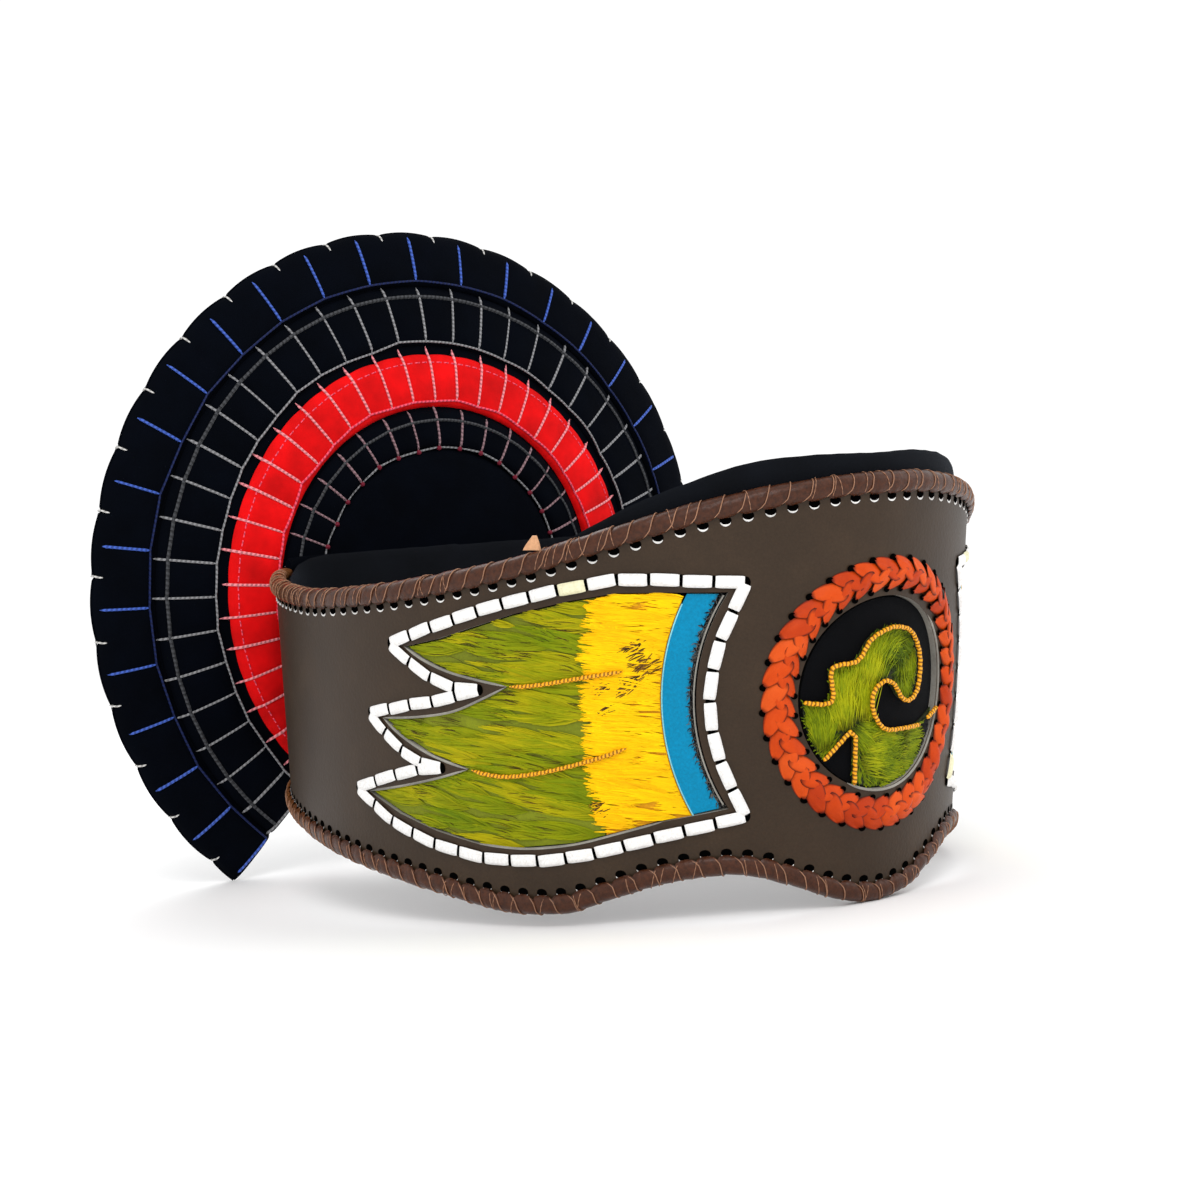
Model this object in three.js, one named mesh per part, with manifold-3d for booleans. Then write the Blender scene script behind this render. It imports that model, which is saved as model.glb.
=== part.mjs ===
// Feathered headdress: a stiff leather headband with laced rims and inlaid
// feather work, and behind it an upright fan of four tiers of feather pockets.
// Millimetres, +Z up. The wearer faces -Y, so the fan stands at +Y.
//
// The headband is drawn flat and then bent. A place on it is (s, z, d): s runs
// along the band from the middle of the front, positive towards the wearer's
// left (+X), z is the height above the medallion's centre, and d is the depth
// inwards from the outer face of the leather.
import * as THREE from 'three';
import { mergeVertices } from 'three/addons/utils/BufferGeometryUtils.js';
import Module from 'manifold-3d';

const wasm = await Module();
wasm.setup();

// ---- headband ---------------------------------------------------------------
const BAND_HALF_WIDTH = 85;      // outer face, at the medallion's height
const BAND_FRONT_DEPTH = 110;    // from the widest place to the front
const BAND_BACK_Y = 81;          // flat outer face of the back
const BACK_ROUNDING = 4;         // how softly the sides turn into the flat back
const PLAN_POWER = 1.86;         // 2 would be an ellipse
const FLARE = 0.0005;            // outward lean of the wall, per mm of height
const BEND_STEP = 10;            // length of one flat facet along the band

const LEATHER = 2.6;
const LINING = 2.0;
const GAP = 0.3;                 // between pieces that touch
const LEATHER_END = 232;         // where the leather stops, either side
const WELD = 1e-4;               // points nearer than this are one

// Edges of the leather that shows between the two lacings.
const TOP_EDGE = [               // [s, z]
  [0, 47], [14, 46.5], [32, 44], [50, 40], [68, 34.5], [88, 28.5], [110, 23.5], [137, 19],
  [169, 16], [300, 16],
];
const BOTTOM_EDGE = [
  [0, -45.4], [11, -44], [21, -40.5], [31, -37.2], [41, -36.4], [50, -37.6], [59, -40], [69, -43.6],
  [79, -47], [90, -48], [101, -47.5], [114, -46], [143, -43.5], [184, -41], [300, -40],
];
const RIM_COVER = 3.4;           // how far the lacing reaches over the leather
const LINING_RISE = [            // [s, height of the lining above the rim's slot]
  [0, 5.4], [35, 6.8], [60, 4.8], [78, 1.3], [110, -0.3], [300, -0.3],
];
const BACK_TOP = 22.5;           // top of the strap across the back

// Section of a rim lacing over the leather's edge: [d, height above the edge].
const RIM_SECTION = [
  [-GAP, 0], [-1.5, 0.3], [-1.5, 2.8], [-0.2, 4.4], [2, 4.6], [2.9, RIM_COVER], [-GAP, RIM_COVER],
];
const RIM_TOP = 4.6;             // full height of the lacing above the leather that shows
const LINING_LOW = 2;            // the lining stops this far inside the bottom edge
const STRAP_TURN = 20;           // length over which the lining rises to the back's height

// The lacing's cut end stands on the top rim as a small pointed tab.
const TAB_PLACE = -84.5;
const TAB_HALF_WIDTH = 2.2;
const TAB_TIP_HALF_WIDTH = 0.5;
const TAB_HEIGHT = 3.4;
const TAB_DEPTH = 1.2;
const TAB_THICK = 0.8;

// ---- medallion --------------------------------------------------------------
const MEDALLION_S = 0.8;         // the medallion sits a little off the middle
const MEDALLION_Z = -0.3;
const WINDOW_RADIUS = 22.8;
const BRAID_INNER = 24.6;
const BRAID_OUTER = 32;
const BRAID_RISE = 1.8;
const FELT = 1.2;
const FRET_UPPER = [             // [s, z] along the upper cord, from the window's left
  [-22.4, -0.5], [-15.5, -0.5], [-15.5, 7], [-9, 8.5], [-5.5, 13], [-1.5, 15], [2.5, 15.5], [7.5, 14],
  [11, 9.5], [12, 4.5], [11, -0.5], [8, -2.5], [5, -1.5], [2, 2], [-1, 3], [-4, 1], [-4.5, -2.5],
  [-3, -6], [0, -8.5], [6, -9], [13, -9], [16.5, -8], [21.8, -6],
];
const FRET_LOWER = [             // and round the dark triangle below
  [-17.3, -14.4], [-10.5, -8], [-9, -9.5], [-9, -20.8],
];
const CORD_RADIUS = 0.7;
const CORD_SIDES = 5;
const FRET_FACE = 0.5;           // depth of the feathers' face
const FELT_PROUD = 0.2;          // how far the felt stands into the lining's gap

// ---- wing windows -----------------------------------------------------------
// Outline of the three lobes, [s, z], from the top corner backwards and round to
// the bottom corner. The front side is an arc about the medallion's centre.
const WING_FRONT_RADIUS = 46.3;
const WING_FRONT_TOP = 25.2;
const WING_FRONT_BOTTOM = -25;
const WING_OUTLINE = [
  [54, 25.2], [64, 25], [75, 23], [90, 19.3], [102, 15.4], [111, 12.4], [122, 9.8],
  [116, 7], [109, 4.8], [101, 3.4], [92, 2.2],
  [99.5, -1.5], [108, -5], [119, -7.2], [131, -8.6],
  [125, -12.2], [115.5, -16], [104, -18.6],
  [113, -21.6], [125.5, -25], [138, -27.9],
  [126.5, -32], [114, -34.8], [102, -36.5], [89, -36.5], [76, -34.5], [64, -31], [54, -28],
];
const YELLOW_BACK = 72;          // where the yellow field meets the green
const BLUE_INNER = 47.8;         // radii about the medallion's centre
const BLUE_OUTER = 54.2;
const INLAY_FACE = 0.9;          // how far the inlay lies below the leather's face
const LACE_WIDTH = 2.9;
const LACE_THICK = 1.1;
const TIP_LIMIT = 1.45;          // longest mitre outside a corner, in offsets
const VALLEY_LIMIT = 2.4;        // and inside one
const LACE_OFFSET = 3.1;         // middle of the white lacing, outside the window
const FIELD_HEIGHT = 50;         // half height that is clear of any window
const FIELD_END = 160;           // distance along the band that is clear of any window
const ARC_HALF_ANGLE = 0.9;      // radians, of the strips about the medallion
const CUT_THROUGH = 3;           // how far a cut runs past both faces
const WING_CORD_UPPER = [[91, 2.3], [87.5, 2.5], [82, 3.3], [74, 4.9], [63, 6.9]];
const WING_CORD_LOWER = [
  [102.5, -18.6], [99, -19.2], [93, -19.4], [85, -18.1], [77, -16], [69, -13.5], [62.5, -11],
];

// ---- fan --------------------------------------------------------------------
const FAN_HEIGHT = 9.5;          // centre of the rings above the medallion's centre
const FAN_Y = BAND_BACK_Y + 0.4; // front of the panel at its centre
const FAN_DISH = 0.0014;         // backward curl, per mm of radius squared
const FAN_LEAN = 0.055;
const FAN_HALF_ANGLE = 140;      // the fan stops either side of straight down
const FAN_STEP = 8;              // degrees
const FAN_CLOTH = 2;
const FAN_CENTRE = 42.5;         // radius of the round centre
const FAN_RADIUS = 109;
const TIER_EDGE = 0.4;           // width of a tier's rounded edge
const TIERS = [                  // [name, inner radius, outer radius, height of the padding]
  ['fan_tier_1', 92.4, 108.4, 2.4],
  ['fan_tier_2', 74, 92, 2.4],
  ['fan_tier_3', 55.2, 71.4, 2.4],
  ['fan_tier_4', 43, 54.8, 2],
];

// ---- stance -----------------------------------------------------------------
const FORWARD_TILT = 6.85;       // degrees, standing on the front rim and the fan's two tips

const finishes = {
  leather: { color: 0x4a3f38, roughness: 0.6 },
  lacing: { color: 0x6b4a36, roughness: 0.65 },
  tan: { color: 0xb88a5c, roughness: 0.7 },
  lining: { color: 0x15171a, roughness: 0.95 },
  felt: { color: 0x101114, roughness: 0.95 },
  green: { color: 0x7f930f, roughness: 0.8 },
  yellow: { color: 0xf2b705, roughness: 0.8 },
  blue: { color: 0x0d86ab, roughness: 0.6 },
  white: { color: 0xf4f2ec, roughness: 0.5 },
  orange: { color: 0xdf5a1e, roughness: 0.55 },
  gold: { color: 0xcfa23a, roughness: 0.4, metalness: 0.4 },
  black: { color: 0x14181c, roughness: 0.9 },
  red: { color: 0xe01020, roughness: 0.75 },
};
const materials = {};
for (const [name, look] of Object.entries(finishes)) {
  materials[name] = new THREE.MeshStandardMaterial({ metalness: 0, ...look });
}

// ---- the bent wall ----------------------------------------------------------
// Half of the band's plan, walked in small steps from the front to the back, with
// the length walked so far. The other half is its mirror image.
const planSteps = [];
function planPoint(angle) {
  const bend = 2 / PLAN_POWER;
  const x = BAND_HALF_WIDTH * Math.abs(Math.sin(angle)) ** bend;
  const reach = -BAND_FRONT_DEPTH * Math.sign(Math.cos(angle)) * Math.abs(Math.cos(angle)) ** bend;
  const before = (BAND_BACK_Y - reach) / BACK_ROUNDING;
  const y = BAND_BACK_Y - BACK_ROUNDING * Math.log(1 + Math.exp(before));
  return [x, y];
}
const PLAN_STEPS = 900;
for (let i = 0, walked = 0; i <= PLAN_STEPS; i += 1) {
  const [x, y] = planPoint((Math.PI * i) / PLAN_STEPS);
  if (i > 0) {
    const before = planSteps[i - 1];
    walked += Math.hypot(x - before.x, y - before.y);
  }
  planSteps.push({ x, y, walked });
}
const HALF_LOOP = planSteps[PLAN_STEPS].walked;

function planAt(s) {
  const length = Math.min(Math.abs(s), HALF_LOOP);
  let i = planSteps.findIndex((step) => step.walked >= length);
  i = Math.max(i, 1);
  const a = planSteps[i - 1];
  const b = planSteps[i];
  const t = (length - a.walked) / (b.walked - a.walked);
  return [Math.sign(s) * (a.x + (b.x - a.x) * t), a.y + (b.y - a.y) * t];
}

const LOOK = 1.5;                // the wall's direction is taken over twice this length
function wallPoint(s, z, d) {
  const inside = Math.max(-HALF_LOOP + LOOK, Math.min(HALF_LOOP - LOOK, s));
  const [ax, ay] = planAt(inside - LOOK);
  const [bx, by] = planAt(inside + LOOK);
  const length = Math.hypot(bx - ax, by - ay);
  const out = [(by - ay) / length, -(bx - ax) / length];
  const [x, y] = planAt(s);
  const shift = FLARE * BAND_HALF_WIDTH * z - d;
  return [x + out[0] * shift, y + out[1] * shift, z];
}

// ---- small tools ------------------------------------------------------------
function between(table, at) {
  // smooth curve through the rows of a table, by its first column
  const x = Math.abs(at);
  const last = table.length - 2;
  let i = 0;
  while (i < last && x > table[i + 1][0]) i += 1;
  const slope = (k) => {
    const lo = table[Math.max(k - 1, 0)];
    const hi = table[Math.min(k + 1, table.length - 1)];
    return k === 0 ? 0 : (hi[1] - lo[1]) / (hi[0] - lo[0]);
  };
  const [x0, y0] = table[i];
  const [x1, y1] = table[i + 1];
  const w = x1 - x0;
  const t = Math.min((x - x0) / w, 1);
  const a = y0 * (1 + 2 * t) * (1 - t) ** 2 + y1 * t * t * (3 - 2 * t);
  return a + w * (slope(i) * t * (1 - t) ** 2 - slope(i + 1) * t * t * (1 - t));
}

function stations(from, to, step) {
  const count = Math.max(1, Math.round((to - from) / step));
  return Array.from({ length: count + 1 }, (_, i) => from + ((to - from) * i) / count);
}

function geometryOf(points, faces) {
  const geometry = new THREE.BufferGeometry();
  geometry.setAttribute('position', new THREE.Float32BufferAttribute(points.flat(), 3));
  geometry.setIndex(faces.flat());
  return geometry;
}

// A body lofted through equal rings of points, closed in a loop or capped flat.
// With the rings' points turning clockwise as seen from ahead, faces point out.
function loft(rings, looped = false) {
  const n = rings[0].length;
  const faces = [];
  const last = looped ? rings.length : rings.length - 1;
  for (let i = 0; i < last; i += 1) {
    const here = i * n;
    const next = ((i + 1) % rings.length) * n;
    for (let j = 0; j < n; j += 1) {
      const k = (j + 1) % n;
      faces.push([here + j, next + j, next + k], [here + j, next + k, here + k]);
    }
  }
  if (!looped) {
    const contour = capOutline(rings[0]);
    const end = (rings.length - 1) * n;
    for (const [a, b, c] of THREE.ShapeUtils.triangulateShape(contour, [])) {
      faces.push([a, b, c], [end + a, end + c, end + b]);
    }
  }
  const geometry = geometryOf(rings.flat(), faces);
  return facingOut(geometry);
}

// The ring's own two axes, so that its cap can be cut into triangles.
function capOutline(ring) {
  const points = ring.map((p) => new THREE.Vector3(...p));
  const normal = new THREE.Vector3();
  for (let i = 1; i < points.length - 1; i += 1) {
    const a = points[i].clone().sub(points[0]);
    const b = points[i + 1].clone().sub(points[0]);
    normal.add(a.cross(b));
  }
  normal.normalize();
  const u = points[1].clone().sub(points[0]).normalize();
  const v = normal.clone().cross(u);
  return points.map((p) => {
    const arm = p.clone().sub(points[0]);
    return new THREE.Vector2(arm.dot(u), arm.dot(v));
  });
}

function facingOut(geometry) {
  const p = geometry.getAttribute('position');
  const index = Array.from(geometry.getIndex().array);
  const corner = (i) => new THREE.Vector3().fromBufferAttribute(p, index[i]);
  let volume = 0;
  for (let i = 0; i < index.length; i += 3) {
    volume += corner(i).dot(corner(i + 1).cross(corner(i + 2)));
  }
  if (volume < 0) index.reverse();
  geometry.setIndex(index);
  return geometry;
}

function solidOf(geometry) {
  const bare = geometry.clone();
  bare.deleteAttribute('normal');
  bare.deleteAttribute('uv');
  const merged = mergeVertices(bare, WELD);
  return new wasm.Manifold(new wasm.Mesh({
    numProp: 3,
    vertProperties: merged.getAttribute('position').array,
    triVerts: new Uint32Array(merged.getIndex().array),
  }));
}

function geometryFrom(solid) {
  const mesh = solid.getMesh();
  const geometry = new THREE.BufferGeometry();
  geometry.setAttribute('position', new THREE.BufferAttribute(mesh.vertProperties, 3));
  geometry.setIndex(new THREE.BufferAttribute(mesh.triVerts, 1));
  return geometry;
}

// Cuts every triangle of a flat shape where it crosses a facet line of the band,
// so that the shape can be bent there.
function scored(triangles, step) {
  let pieces = triangles;
  const along = pieces.flat().map((p) => p[0]);
  const first = Math.ceil(Math.min(...along) / step);
  const last = Math.floor(Math.max(...along) / step);
  for (let k = first; k <= last; k += 1) {
    pieces = pieces.flatMap((triangle) => splitAt(triangle, k * step));
  }
  return pieces;
}

function splitAt(triangle, line) {
  const side = triangle.map((p) => Math.sign(Math.abs(p[0] - line) < 1e-6 ? 0 : p[0] - line));
  if (!side.includes(1) || !side.includes(-1)) return [triangle];
  const cut = (p, q) => {
    const [a, b] = p[0] < q[0] ? [p, q] : [q, p];
    const t = (line - a[0]) / (b[0] - a[0]);
    return a.map((value, i) => (i === 0 ? line : value + (b[i] - value) * t));
  };
  if (side.includes(0)) {
    const i = side.indexOf(0);
    const [a, b, c] = [triangle[i], triangle[(i + 1) % 3], triangle[(i + 2) % 3]];
    const m = cut(b, c);
    return [[a, b, m], [a, m, c]];
  }
  const lone = side.findIndex((value) => side.filter((other) => other === value).length === 1);
  const [a, b, c] = [triangle[lone], triangle[(lone + 1) % 3], triangle[(lone + 2) % 3]];
  const m = cut(a, b);
  const n = cut(a, c);
  return [[a, m, n], [m, b, c], [m, c, n]];
}

// A flat outline [s, z] with thickness, from depth d0 to d1.
function flatPiece(outline, d0, d1) {
  const shape = new THREE.Shape(outline.map(([s, z]) => new THREE.Vector2(s, z)));
  const block = new THREE.ExtrudeGeometry(shape, { depth: d1 - d0, bevelEnabled: false, steps: 1 });
  return block.translate(0, 0, d0);
}

// A flat piece scored and bent to the wall.
function bend(flat) {
  const loose = flat.getIndex() ? flat.toNonIndexed() : flat;
  const p = loose.getAttribute('position');
  const triangles = [];
  for (let i = 0; i < p.count; i += 3) {
    triangles.push([i, i + 1, i + 2].map((k) => [p.getX(k), p.getY(k), p.getZ(k)]));
  }
  const bent = scored(triangles, BEND_STEP).flat().map(([s, z, d]) => wallPoint(s, z, d));
  const geometry = new THREE.BufferGeometry();
  geometry.setAttribute('position', new THREE.Float32BufferAttribute(bent.flat(), 3));
  return facingOut(mergeVertices(geometry, WELD));
}

const patch = (outline, d0, d1) => bend(flatPiece(outline, d0, d1));

// A flat strip of even width that follows a path on the wall.
function ribbon(route, width, d0, d1, looped) {
  const path = finer(route, BEND_STEP, looped);
  const sides = [offsetPath(path, width / 2, looped), offsetPath(path, -width / 2, looped)];
  const rings = path.map((_, i) => {
    const [a, b] = [sides[0][i], sides[1][i]];
    return [wallPoint(...a, d0), wallPoint(...b, d0), wallPoint(...b, d1), wallPoint(...a, d1)];
  });
  return loft(rings, looped);
}

// The same path with points no further apart than a step.
function finer(path, step, looped) {
  const next = (i) => path[(i + 1) % path.length];
  return path.flatMap((p, i) => {
    if (!looped && i === path.length - 1) return [p];
    const q = next(i);
    const count = Math.ceil(Math.hypot(q[0] - p[0], q[1] - p[1]) / step);
    return Array.from({ length: count }, (_, k) => (
      [p[0] + ((q[0] - p[0]) * k) / count, p[1] + ((q[1] - p[1]) * k) / count]
    ));
  });
}

// The path moved sideways by an even distance. A sharp corner's mitre is cut short, most
// of all on its outer side.
function offsetPath(path, distance, looped) {
  const n = path.length;
  const normal = (a, b) => {
    const length = Math.hypot(b[0] - a[0], b[1] - a[1]);
    return [-(b[1] - a[1]) / length, (b[0] - a[0]) / length];
  };
  return path.map((p, i) => {
    const before = looped ? path[(i + n - 1) % n] : path[Math.max(i - 1, 0)];
    const after = looped ? path[(i + 1) % n] : path[Math.min(i + 1, n - 1)];
    const n0 = before === p ? normal(p, after) : normal(before, p);
    const n1 = after === p ? n0 : normal(p, after);
    const mitre = 1 + n0[0] * n1[0] + n0[1] * n1[1];
    const convex = (n0[0] * n1[1] - n0[1] * n1[0]) * distance < 0;
    const limit = (convex ? TIP_LIMIT : VALLEY_LIMIT) / Math.sqrt(2 * mitre);
    const scale = distance * Math.min(1 / mitre, limit);
    return [p[0] + (n0[0] + n1[0]) * scale, p[1] + (n0[1] + n1[1]) * scale];
  });
}

// A round cord along a path on the wall, its middle at depth d.
function cord(path, radius, d, steps) {
  const points = path.map(([s, z]) => new THREE.Vector3(...wallPoint(s, z, d)));
  const route = new THREE.CatmullRomCurve3(points, false, 'centripetal');
  const section = new THREE.Shape();
  for (let i = 0; i < CORD_SIDES; i += 1) {
    const angle = (2 * Math.PI * i) / CORD_SIDES;
    const corner = [radius * Math.cos(angle), radius * Math.sin(angle)];
    if (i === 0) section.moveTo(...corner);
    else section.lineTo(...corner);
  }
  return new THREE.ExtrudeGeometry(section, { extrudePath: route, steps });
}

function arc(radius, from, to, count) {
  return Array.from({ length: count + 1 }, (_, i) => {
    const angle = from + ((to - from) * i) / count;
    return [radius * Math.cos(angle), radius * Math.sin(angle)];
  });
}

const mirrored = (outline, side) => outline.map(([s, z]) => [s * side, z]);

const disc = (radius, count) => arc(radius, 0, 2 * Math.PI, count).slice(1);

const onMedallion = (path) => path.map(([s, z]) => [s + MEDALLION_S, z + MEDALLION_Z]);

// Rectangular section of the wall at s, from low to high and from depth d0 to d1.
function wallSection(s, low, high, d0, d1) {
  return [wallPoint(s, low, d0), wallPoint(s, high, d0), wallPoint(s, high, d1), wallPoint(s, low, d1)];
}

// ---- headband ---------------------------------------------------------------
function leatherEdges(s) {
  return [between(BOTTOM_EDGE, s) - RIM_COVER + GAP, between(TOP_EDGE, s) + RIM_COVER - GAP];
}

function headbandLeather() {
  const rings = stations(-LEATHER_END, LEATHER_END, BEND_STEP).map((s) => {
    const [low, high] = leatherEdges(s);
    return wallSection(s, low, high, 0, LEATHER);
  });
  const windows = [mirrored(wingOutline(), -1), mirrored(wingOutline(), 1),
    onMedallion(disc(WINDOW_RADIUS, 32))];
  let solid = solidOf(loft(rings));
  for (const outline of windows) {
    solid = solid.subtract(solidOf(patch(outline, -CUT_THROUGH, LEATHER + CUT_THROUGH)));
  }
  return geometryFrom(solid);
}

function headbandLining() {
  const d0 = LEATHER + 2 * GAP;
  const d1 = d0 + LINING;
  const rings = stations(-HALF_LOOP, HALF_LOOP, BEND_STEP).slice(1).map((s) => {
    const low = between(BOTTOM_EDGE, s) - RIM_COVER + LINING_LOW;
    const high = between(TOP_EDGE, s) + RIM_COVER + between(LINING_RISE, s) + backRise(s);
    return wallSection(s, low, high, d0, d1);
  });
  return loft(rings, true);
}

// The strap across the back stands higher than the leather's ends.
function backRise(s) {
  const t = THREE.MathUtils.smoothstep(Math.abs(s), LEATHER_END - STRAP_TURN, LEATHER_END + STRAP_TURN);
  return t * (BACK_TOP - between(TOP_EDGE, LEATHER_END) - between(LINING_RISE, LEATHER_END) - RIM_COVER);
}

function headbandBack() {
  const run = HALF_LOOP - LEATHER_END - GAP;
  const rings = stations(-run, run, BEND_STEP).map((t) => {
    const s = t <= 0 ? HALF_LOOP + t : -HALF_LOOP + t;
    return wallSection(s, between(BOTTOM_EDGE, s) - LINING_LOW, BACK_TOP, 0, LEATHER);
  });
  return loft(rings);
}

function rimLacing(edge, up) {
  const rings = stations(-LEATHER_END, LEATHER_END, BEND_STEP).map((s) => (
    RIM_SECTION.map(([d, rise]) => wallPoint(s, between(edge, s) + rise * up, d))
  ));
  return loft(rings);
}

function laceEnd() {
  const foot = (s) => [s, between(TOP_EDGE, s) + RIM_TOP + GAP];
  const [a, b] = [foot(TAB_PLACE - TAB_HALF_WIDTH), foot(TAB_PLACE + TAB_HALF_WIDTH)];
  const top = (a[1] + b[1]) / 2 + TAB_HEIGHT;
  const tips = [[TAB_PLACE + TAB_TIP_HALF_WIDTH, top], [TAB_PLACE - TAB_TIP_HALF_WIDTH, top]];
  return patch([a, b, ...tips], TAB_DEPTH, TAB_DEPTH + TAB_THICK);
}

// ---- medallion --------------------------------------------------------------
function medallionBacking() {
  return patch(onMedallion(disc(WINDOW_RADIUS - GAP, 28)), LEATHER - FELT, LEATHER + FELT_PROUD);
}

// The feathers fill what lies between the two cords, out to the window's edge.
function medallionFeathers() {
  const rim = WINDOW_RADIUS - 2 * GAP;
  const angleOf = ([s, z]) => Math.atan2(z, s);
  const right = arc(rim, angleOf(FRET_UPPER.at(-1)), angleOf(FRET_LOWER.at(-1)), 8);
  const left = arc(rim, angleOf(FRET_LOWER[0]), angleOf(FRET_UPPER[0]), 3);
  const under = FRET_LOWER.slice(1, -1).reverse();
  const outline = [...FRET_UPPER.slice(1, -1), ...right, ...under, ...left];
  return patch(onMedallion(outline), FRET_FACE, LEATHER - FELT - GAP);
}

function fretCord(path, steps) {
  return cord(onMedallion(path), CORD_RADIUS, FRET_FACE - GAP - CORD_RADIUS, steps);
}

function medallionBraid() {
  const middle = (BRAID_INNER + BRAID_OUTER) / 2;
  const half = (BRAID_OUTER - BRAID_INNER) / 2;
  const section = [[-half, 0], [-half * 0.75, BRAID_RISE * 0.8], [0, BRAID_RISE],
    [half * 0.75, BRAID_RISE * 0.8], [half, 0]];
  const rings = disc(1, 36).map(([c, h]) => (
    section.map(([across, rise]) => {
      const [[s, z]] = onMedallion([[c * (middle + across), h * (middle + across)]]);
      return wallPoint(s, z, -GAP - rise);
    })
  ));
  return loft(rings, true);
}

// ---- wings ------------------------------------------------------------------
function wingFront(radius, count) {
  const top = Math.asin(WING_FRONT_TOP / radius);
  const bottom = Math.asin(WING_FRONT_BOTTOM / radius);
  return arc(radius, bottom, top, count);
}

function wingOutline() {
  return [...wingFront(WING_FRONT_RADIUS, 6), ...WING_OUTLINE];
}

// The part of the window that lies within a second outline.
function wingInlay(within, side) {
  const field = solidOf(flatPiece(mirrored(insideWing(), side), INLAY_FACE, LEATHER));
  const keep = solidOf(flatPiece(mirrored(within, side), INLAY_FACE - 1, LEATHER + 1));
  return bend(geometryFrom(field.intersect(keep)));
}

const insideWing = () => offsetPath(wingOutline(), -GAP, true);

function wingPieces(side) {
  const turn = (radius, way) => arc(radius, -ARC_HALF_ANGLE * way, ARC_HALF_ANGLE * way, 10);
  const strip = (inner, outer) => [...turn(inner, 1), ...turn(outer, -1)];
  const front = YELLOW_BACK + GAP;
  const yellow = [...turn(BLUE_OUTER + GAP, 1), [YELLOW_BACK, FIELD_HEIGHT], [YELLOW_BACK, -FIELD_HEIGHT]];
  const green = [[front, -FIELD_HEIGHT], [front, FIELD_HEIGHT], [FIELD_END, FIELD_HEIGHT],
    [FIELD_END, -FIELD_HEIGHT]];
  const lace = ribbon(mirrored(wingLace(), side), LACE_WIDTH, -GAP, -GAP - LACE_THICK, true);
  const cordDepth = INLAY_FACE - GAP - CORD_RADIUS;
  const onInlay = (path, steps) => cord(mirrored(path, side), CORD_RADIUS, cordDepth, steps);
  return [
    ['green', 'green', wingInlay(green, side)],
    ['yellow', 'yellow', wingInlay(yellow, side)],
    ['blue_strip', 'blue', wingInlay(strip(BLUE_INNER, BLUE_OUTER), side)],
    ['dark_strip', 'felt', wingInlay(strip(WING_FRONT_RADIUS - 5, BLUE_INNER - GAP), side)],
    ['lacing', 'white', lace],
    ['cord_upper', 'gold', onInlay(WING_CORD_UPPER, 12)],
    ['cord_lower', 'gold', onInlay(WING_CORD_LOWER, 14)],
  ];
}

const wingLace = () => offsetPath(wingOutline(), LACE_OFFSET, true);

// ---- fan --------------------------------------------------------------------
// A place on the fan: radius, angle from straight up and distance in front.
function fanPoint(radius, degrees, lift) {
  const angle = THREE.MathUtils.degToRad(degrees);
  const h = radius * Math.cos(angle);
  const hold = h < 0 ? Math.min(1, (radius / FAN_RADIUS) ** 2) : 1;
  const y = FAN_Y + FAN_DISH * radius * radius + FAN_LEAN * h * hold - lift;
  return [radius * Math.sin(angle), y, FAN_HEIGHT + h];
}

const fanAngles = () => stations(-FAN_HALF_ANGLE, FAN_HALF_ANGLE, FAN_STEP);

// The backing: a dished horseshoe round a full circle, the same cloth throughout.
function fanBacking() {
  const radii = [FAN_CENTRE / 2, FAN_CENTRE, 64, 87, FAN_RADIUS];
  const count = 360 / FAN_STEP;
  const open = (2 * FAN_HALF_ANGLE) / FAN_STEP;
  const points = [fanPoint(0, 0, 0), fanPoint(0, 0, -FAN_CLOTH)];
  for (const radius of radii) {
    for (let k = 0; k < count; k += 1) {
      const angle = -FAN_HALF_ANGLE + k * FAN_STEP;
      points.push(fanPoint(radius, angle, 0), fanPoint(radius, angle, -FAN_CLOTH));
    }
  }
  const at = (ring, k, layer) => 2 + 2 * (ring * count + (k % count)) + layer;
  const faces = [];
  const quad = (a, b, c, d) => faces.push([a, b, c], [a, c, d]);
  const cloth = (ring, k) => ring < 1 || (ring < radii.length - 1 && k < open);
  for (let k = 0; k < count; k += 1) {
    faces.push([0, at(0, k, 0), at(0, k + 1, 0)], [1, at(0, k + 1, 1), at(0, k, 1)]);
    for (let ring = 0; cloth(ring, k); ring += 1) {
      quad(at(ring, k, 0), at(ring + 1, k, 0), at(ring + 1, k + 1, 0), at(ring, k + 1, 0));
      quad(at(ring, k, 1), at(ring, k + 1, 1), at(ring + 1, k + 1, 1), at(ring + 1, k, 1));
      if (cloth(ring + 1, k)) continue;
      quad(at(ring + 1, k, 0), at(ring + 1, k, 1), at(ring + 1, k + 1, 1), at(ring + 1, k + 1, 0));
    }
  }
  for (let ring = 1; ring < radii.length - 1; ring += 1) {
    quad(at(ring, 0, 0), at(ring, 0, 1), at(ring + 1, 0, 1), at(ring + 1, 0, 0));
    quad(at(ring, open, 0), at(ring + 1, open, 0), at(ring + 1, open, 1), at(ring, open, 1));
  }
  // the open gap's points belong to no face, and are dropped
  return facingOut(mergeVertices(geometryOf(points, faces).toNonIndexed(), WELD));
}

function fanTier(inner, outer, height) {
  const width = outer - inner;
  const section = [[0, GAP], [TIER_EDGE, height * 0.6], [width * 0.3, height], [width * 0.7, height],
    [width - TIER_EDGE, height * 0.7], [width, GAP]];
  const rings = fanAngles().map((angle) => (
    section.map(([across, rise]) => fanPoint(inner + across, angle, Math.max(rise, GAP)))
  ));
  return loft(rings);
}

// ---- assembly ---------------------------------------------------------------
const headdress = new THREE.Group();
const tilted = new THREE.Group();
tilted.rotation.x = THREE.MathUtils.degToRad(FORWARD_TILT);
headdress.add(tilted);

function add(name, finish, geometry) {
  const mesh = new THREE.Mesh(geometry, materials[finish]);
  mesh.name = name;
  tilted.add(mesh);
}

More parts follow.
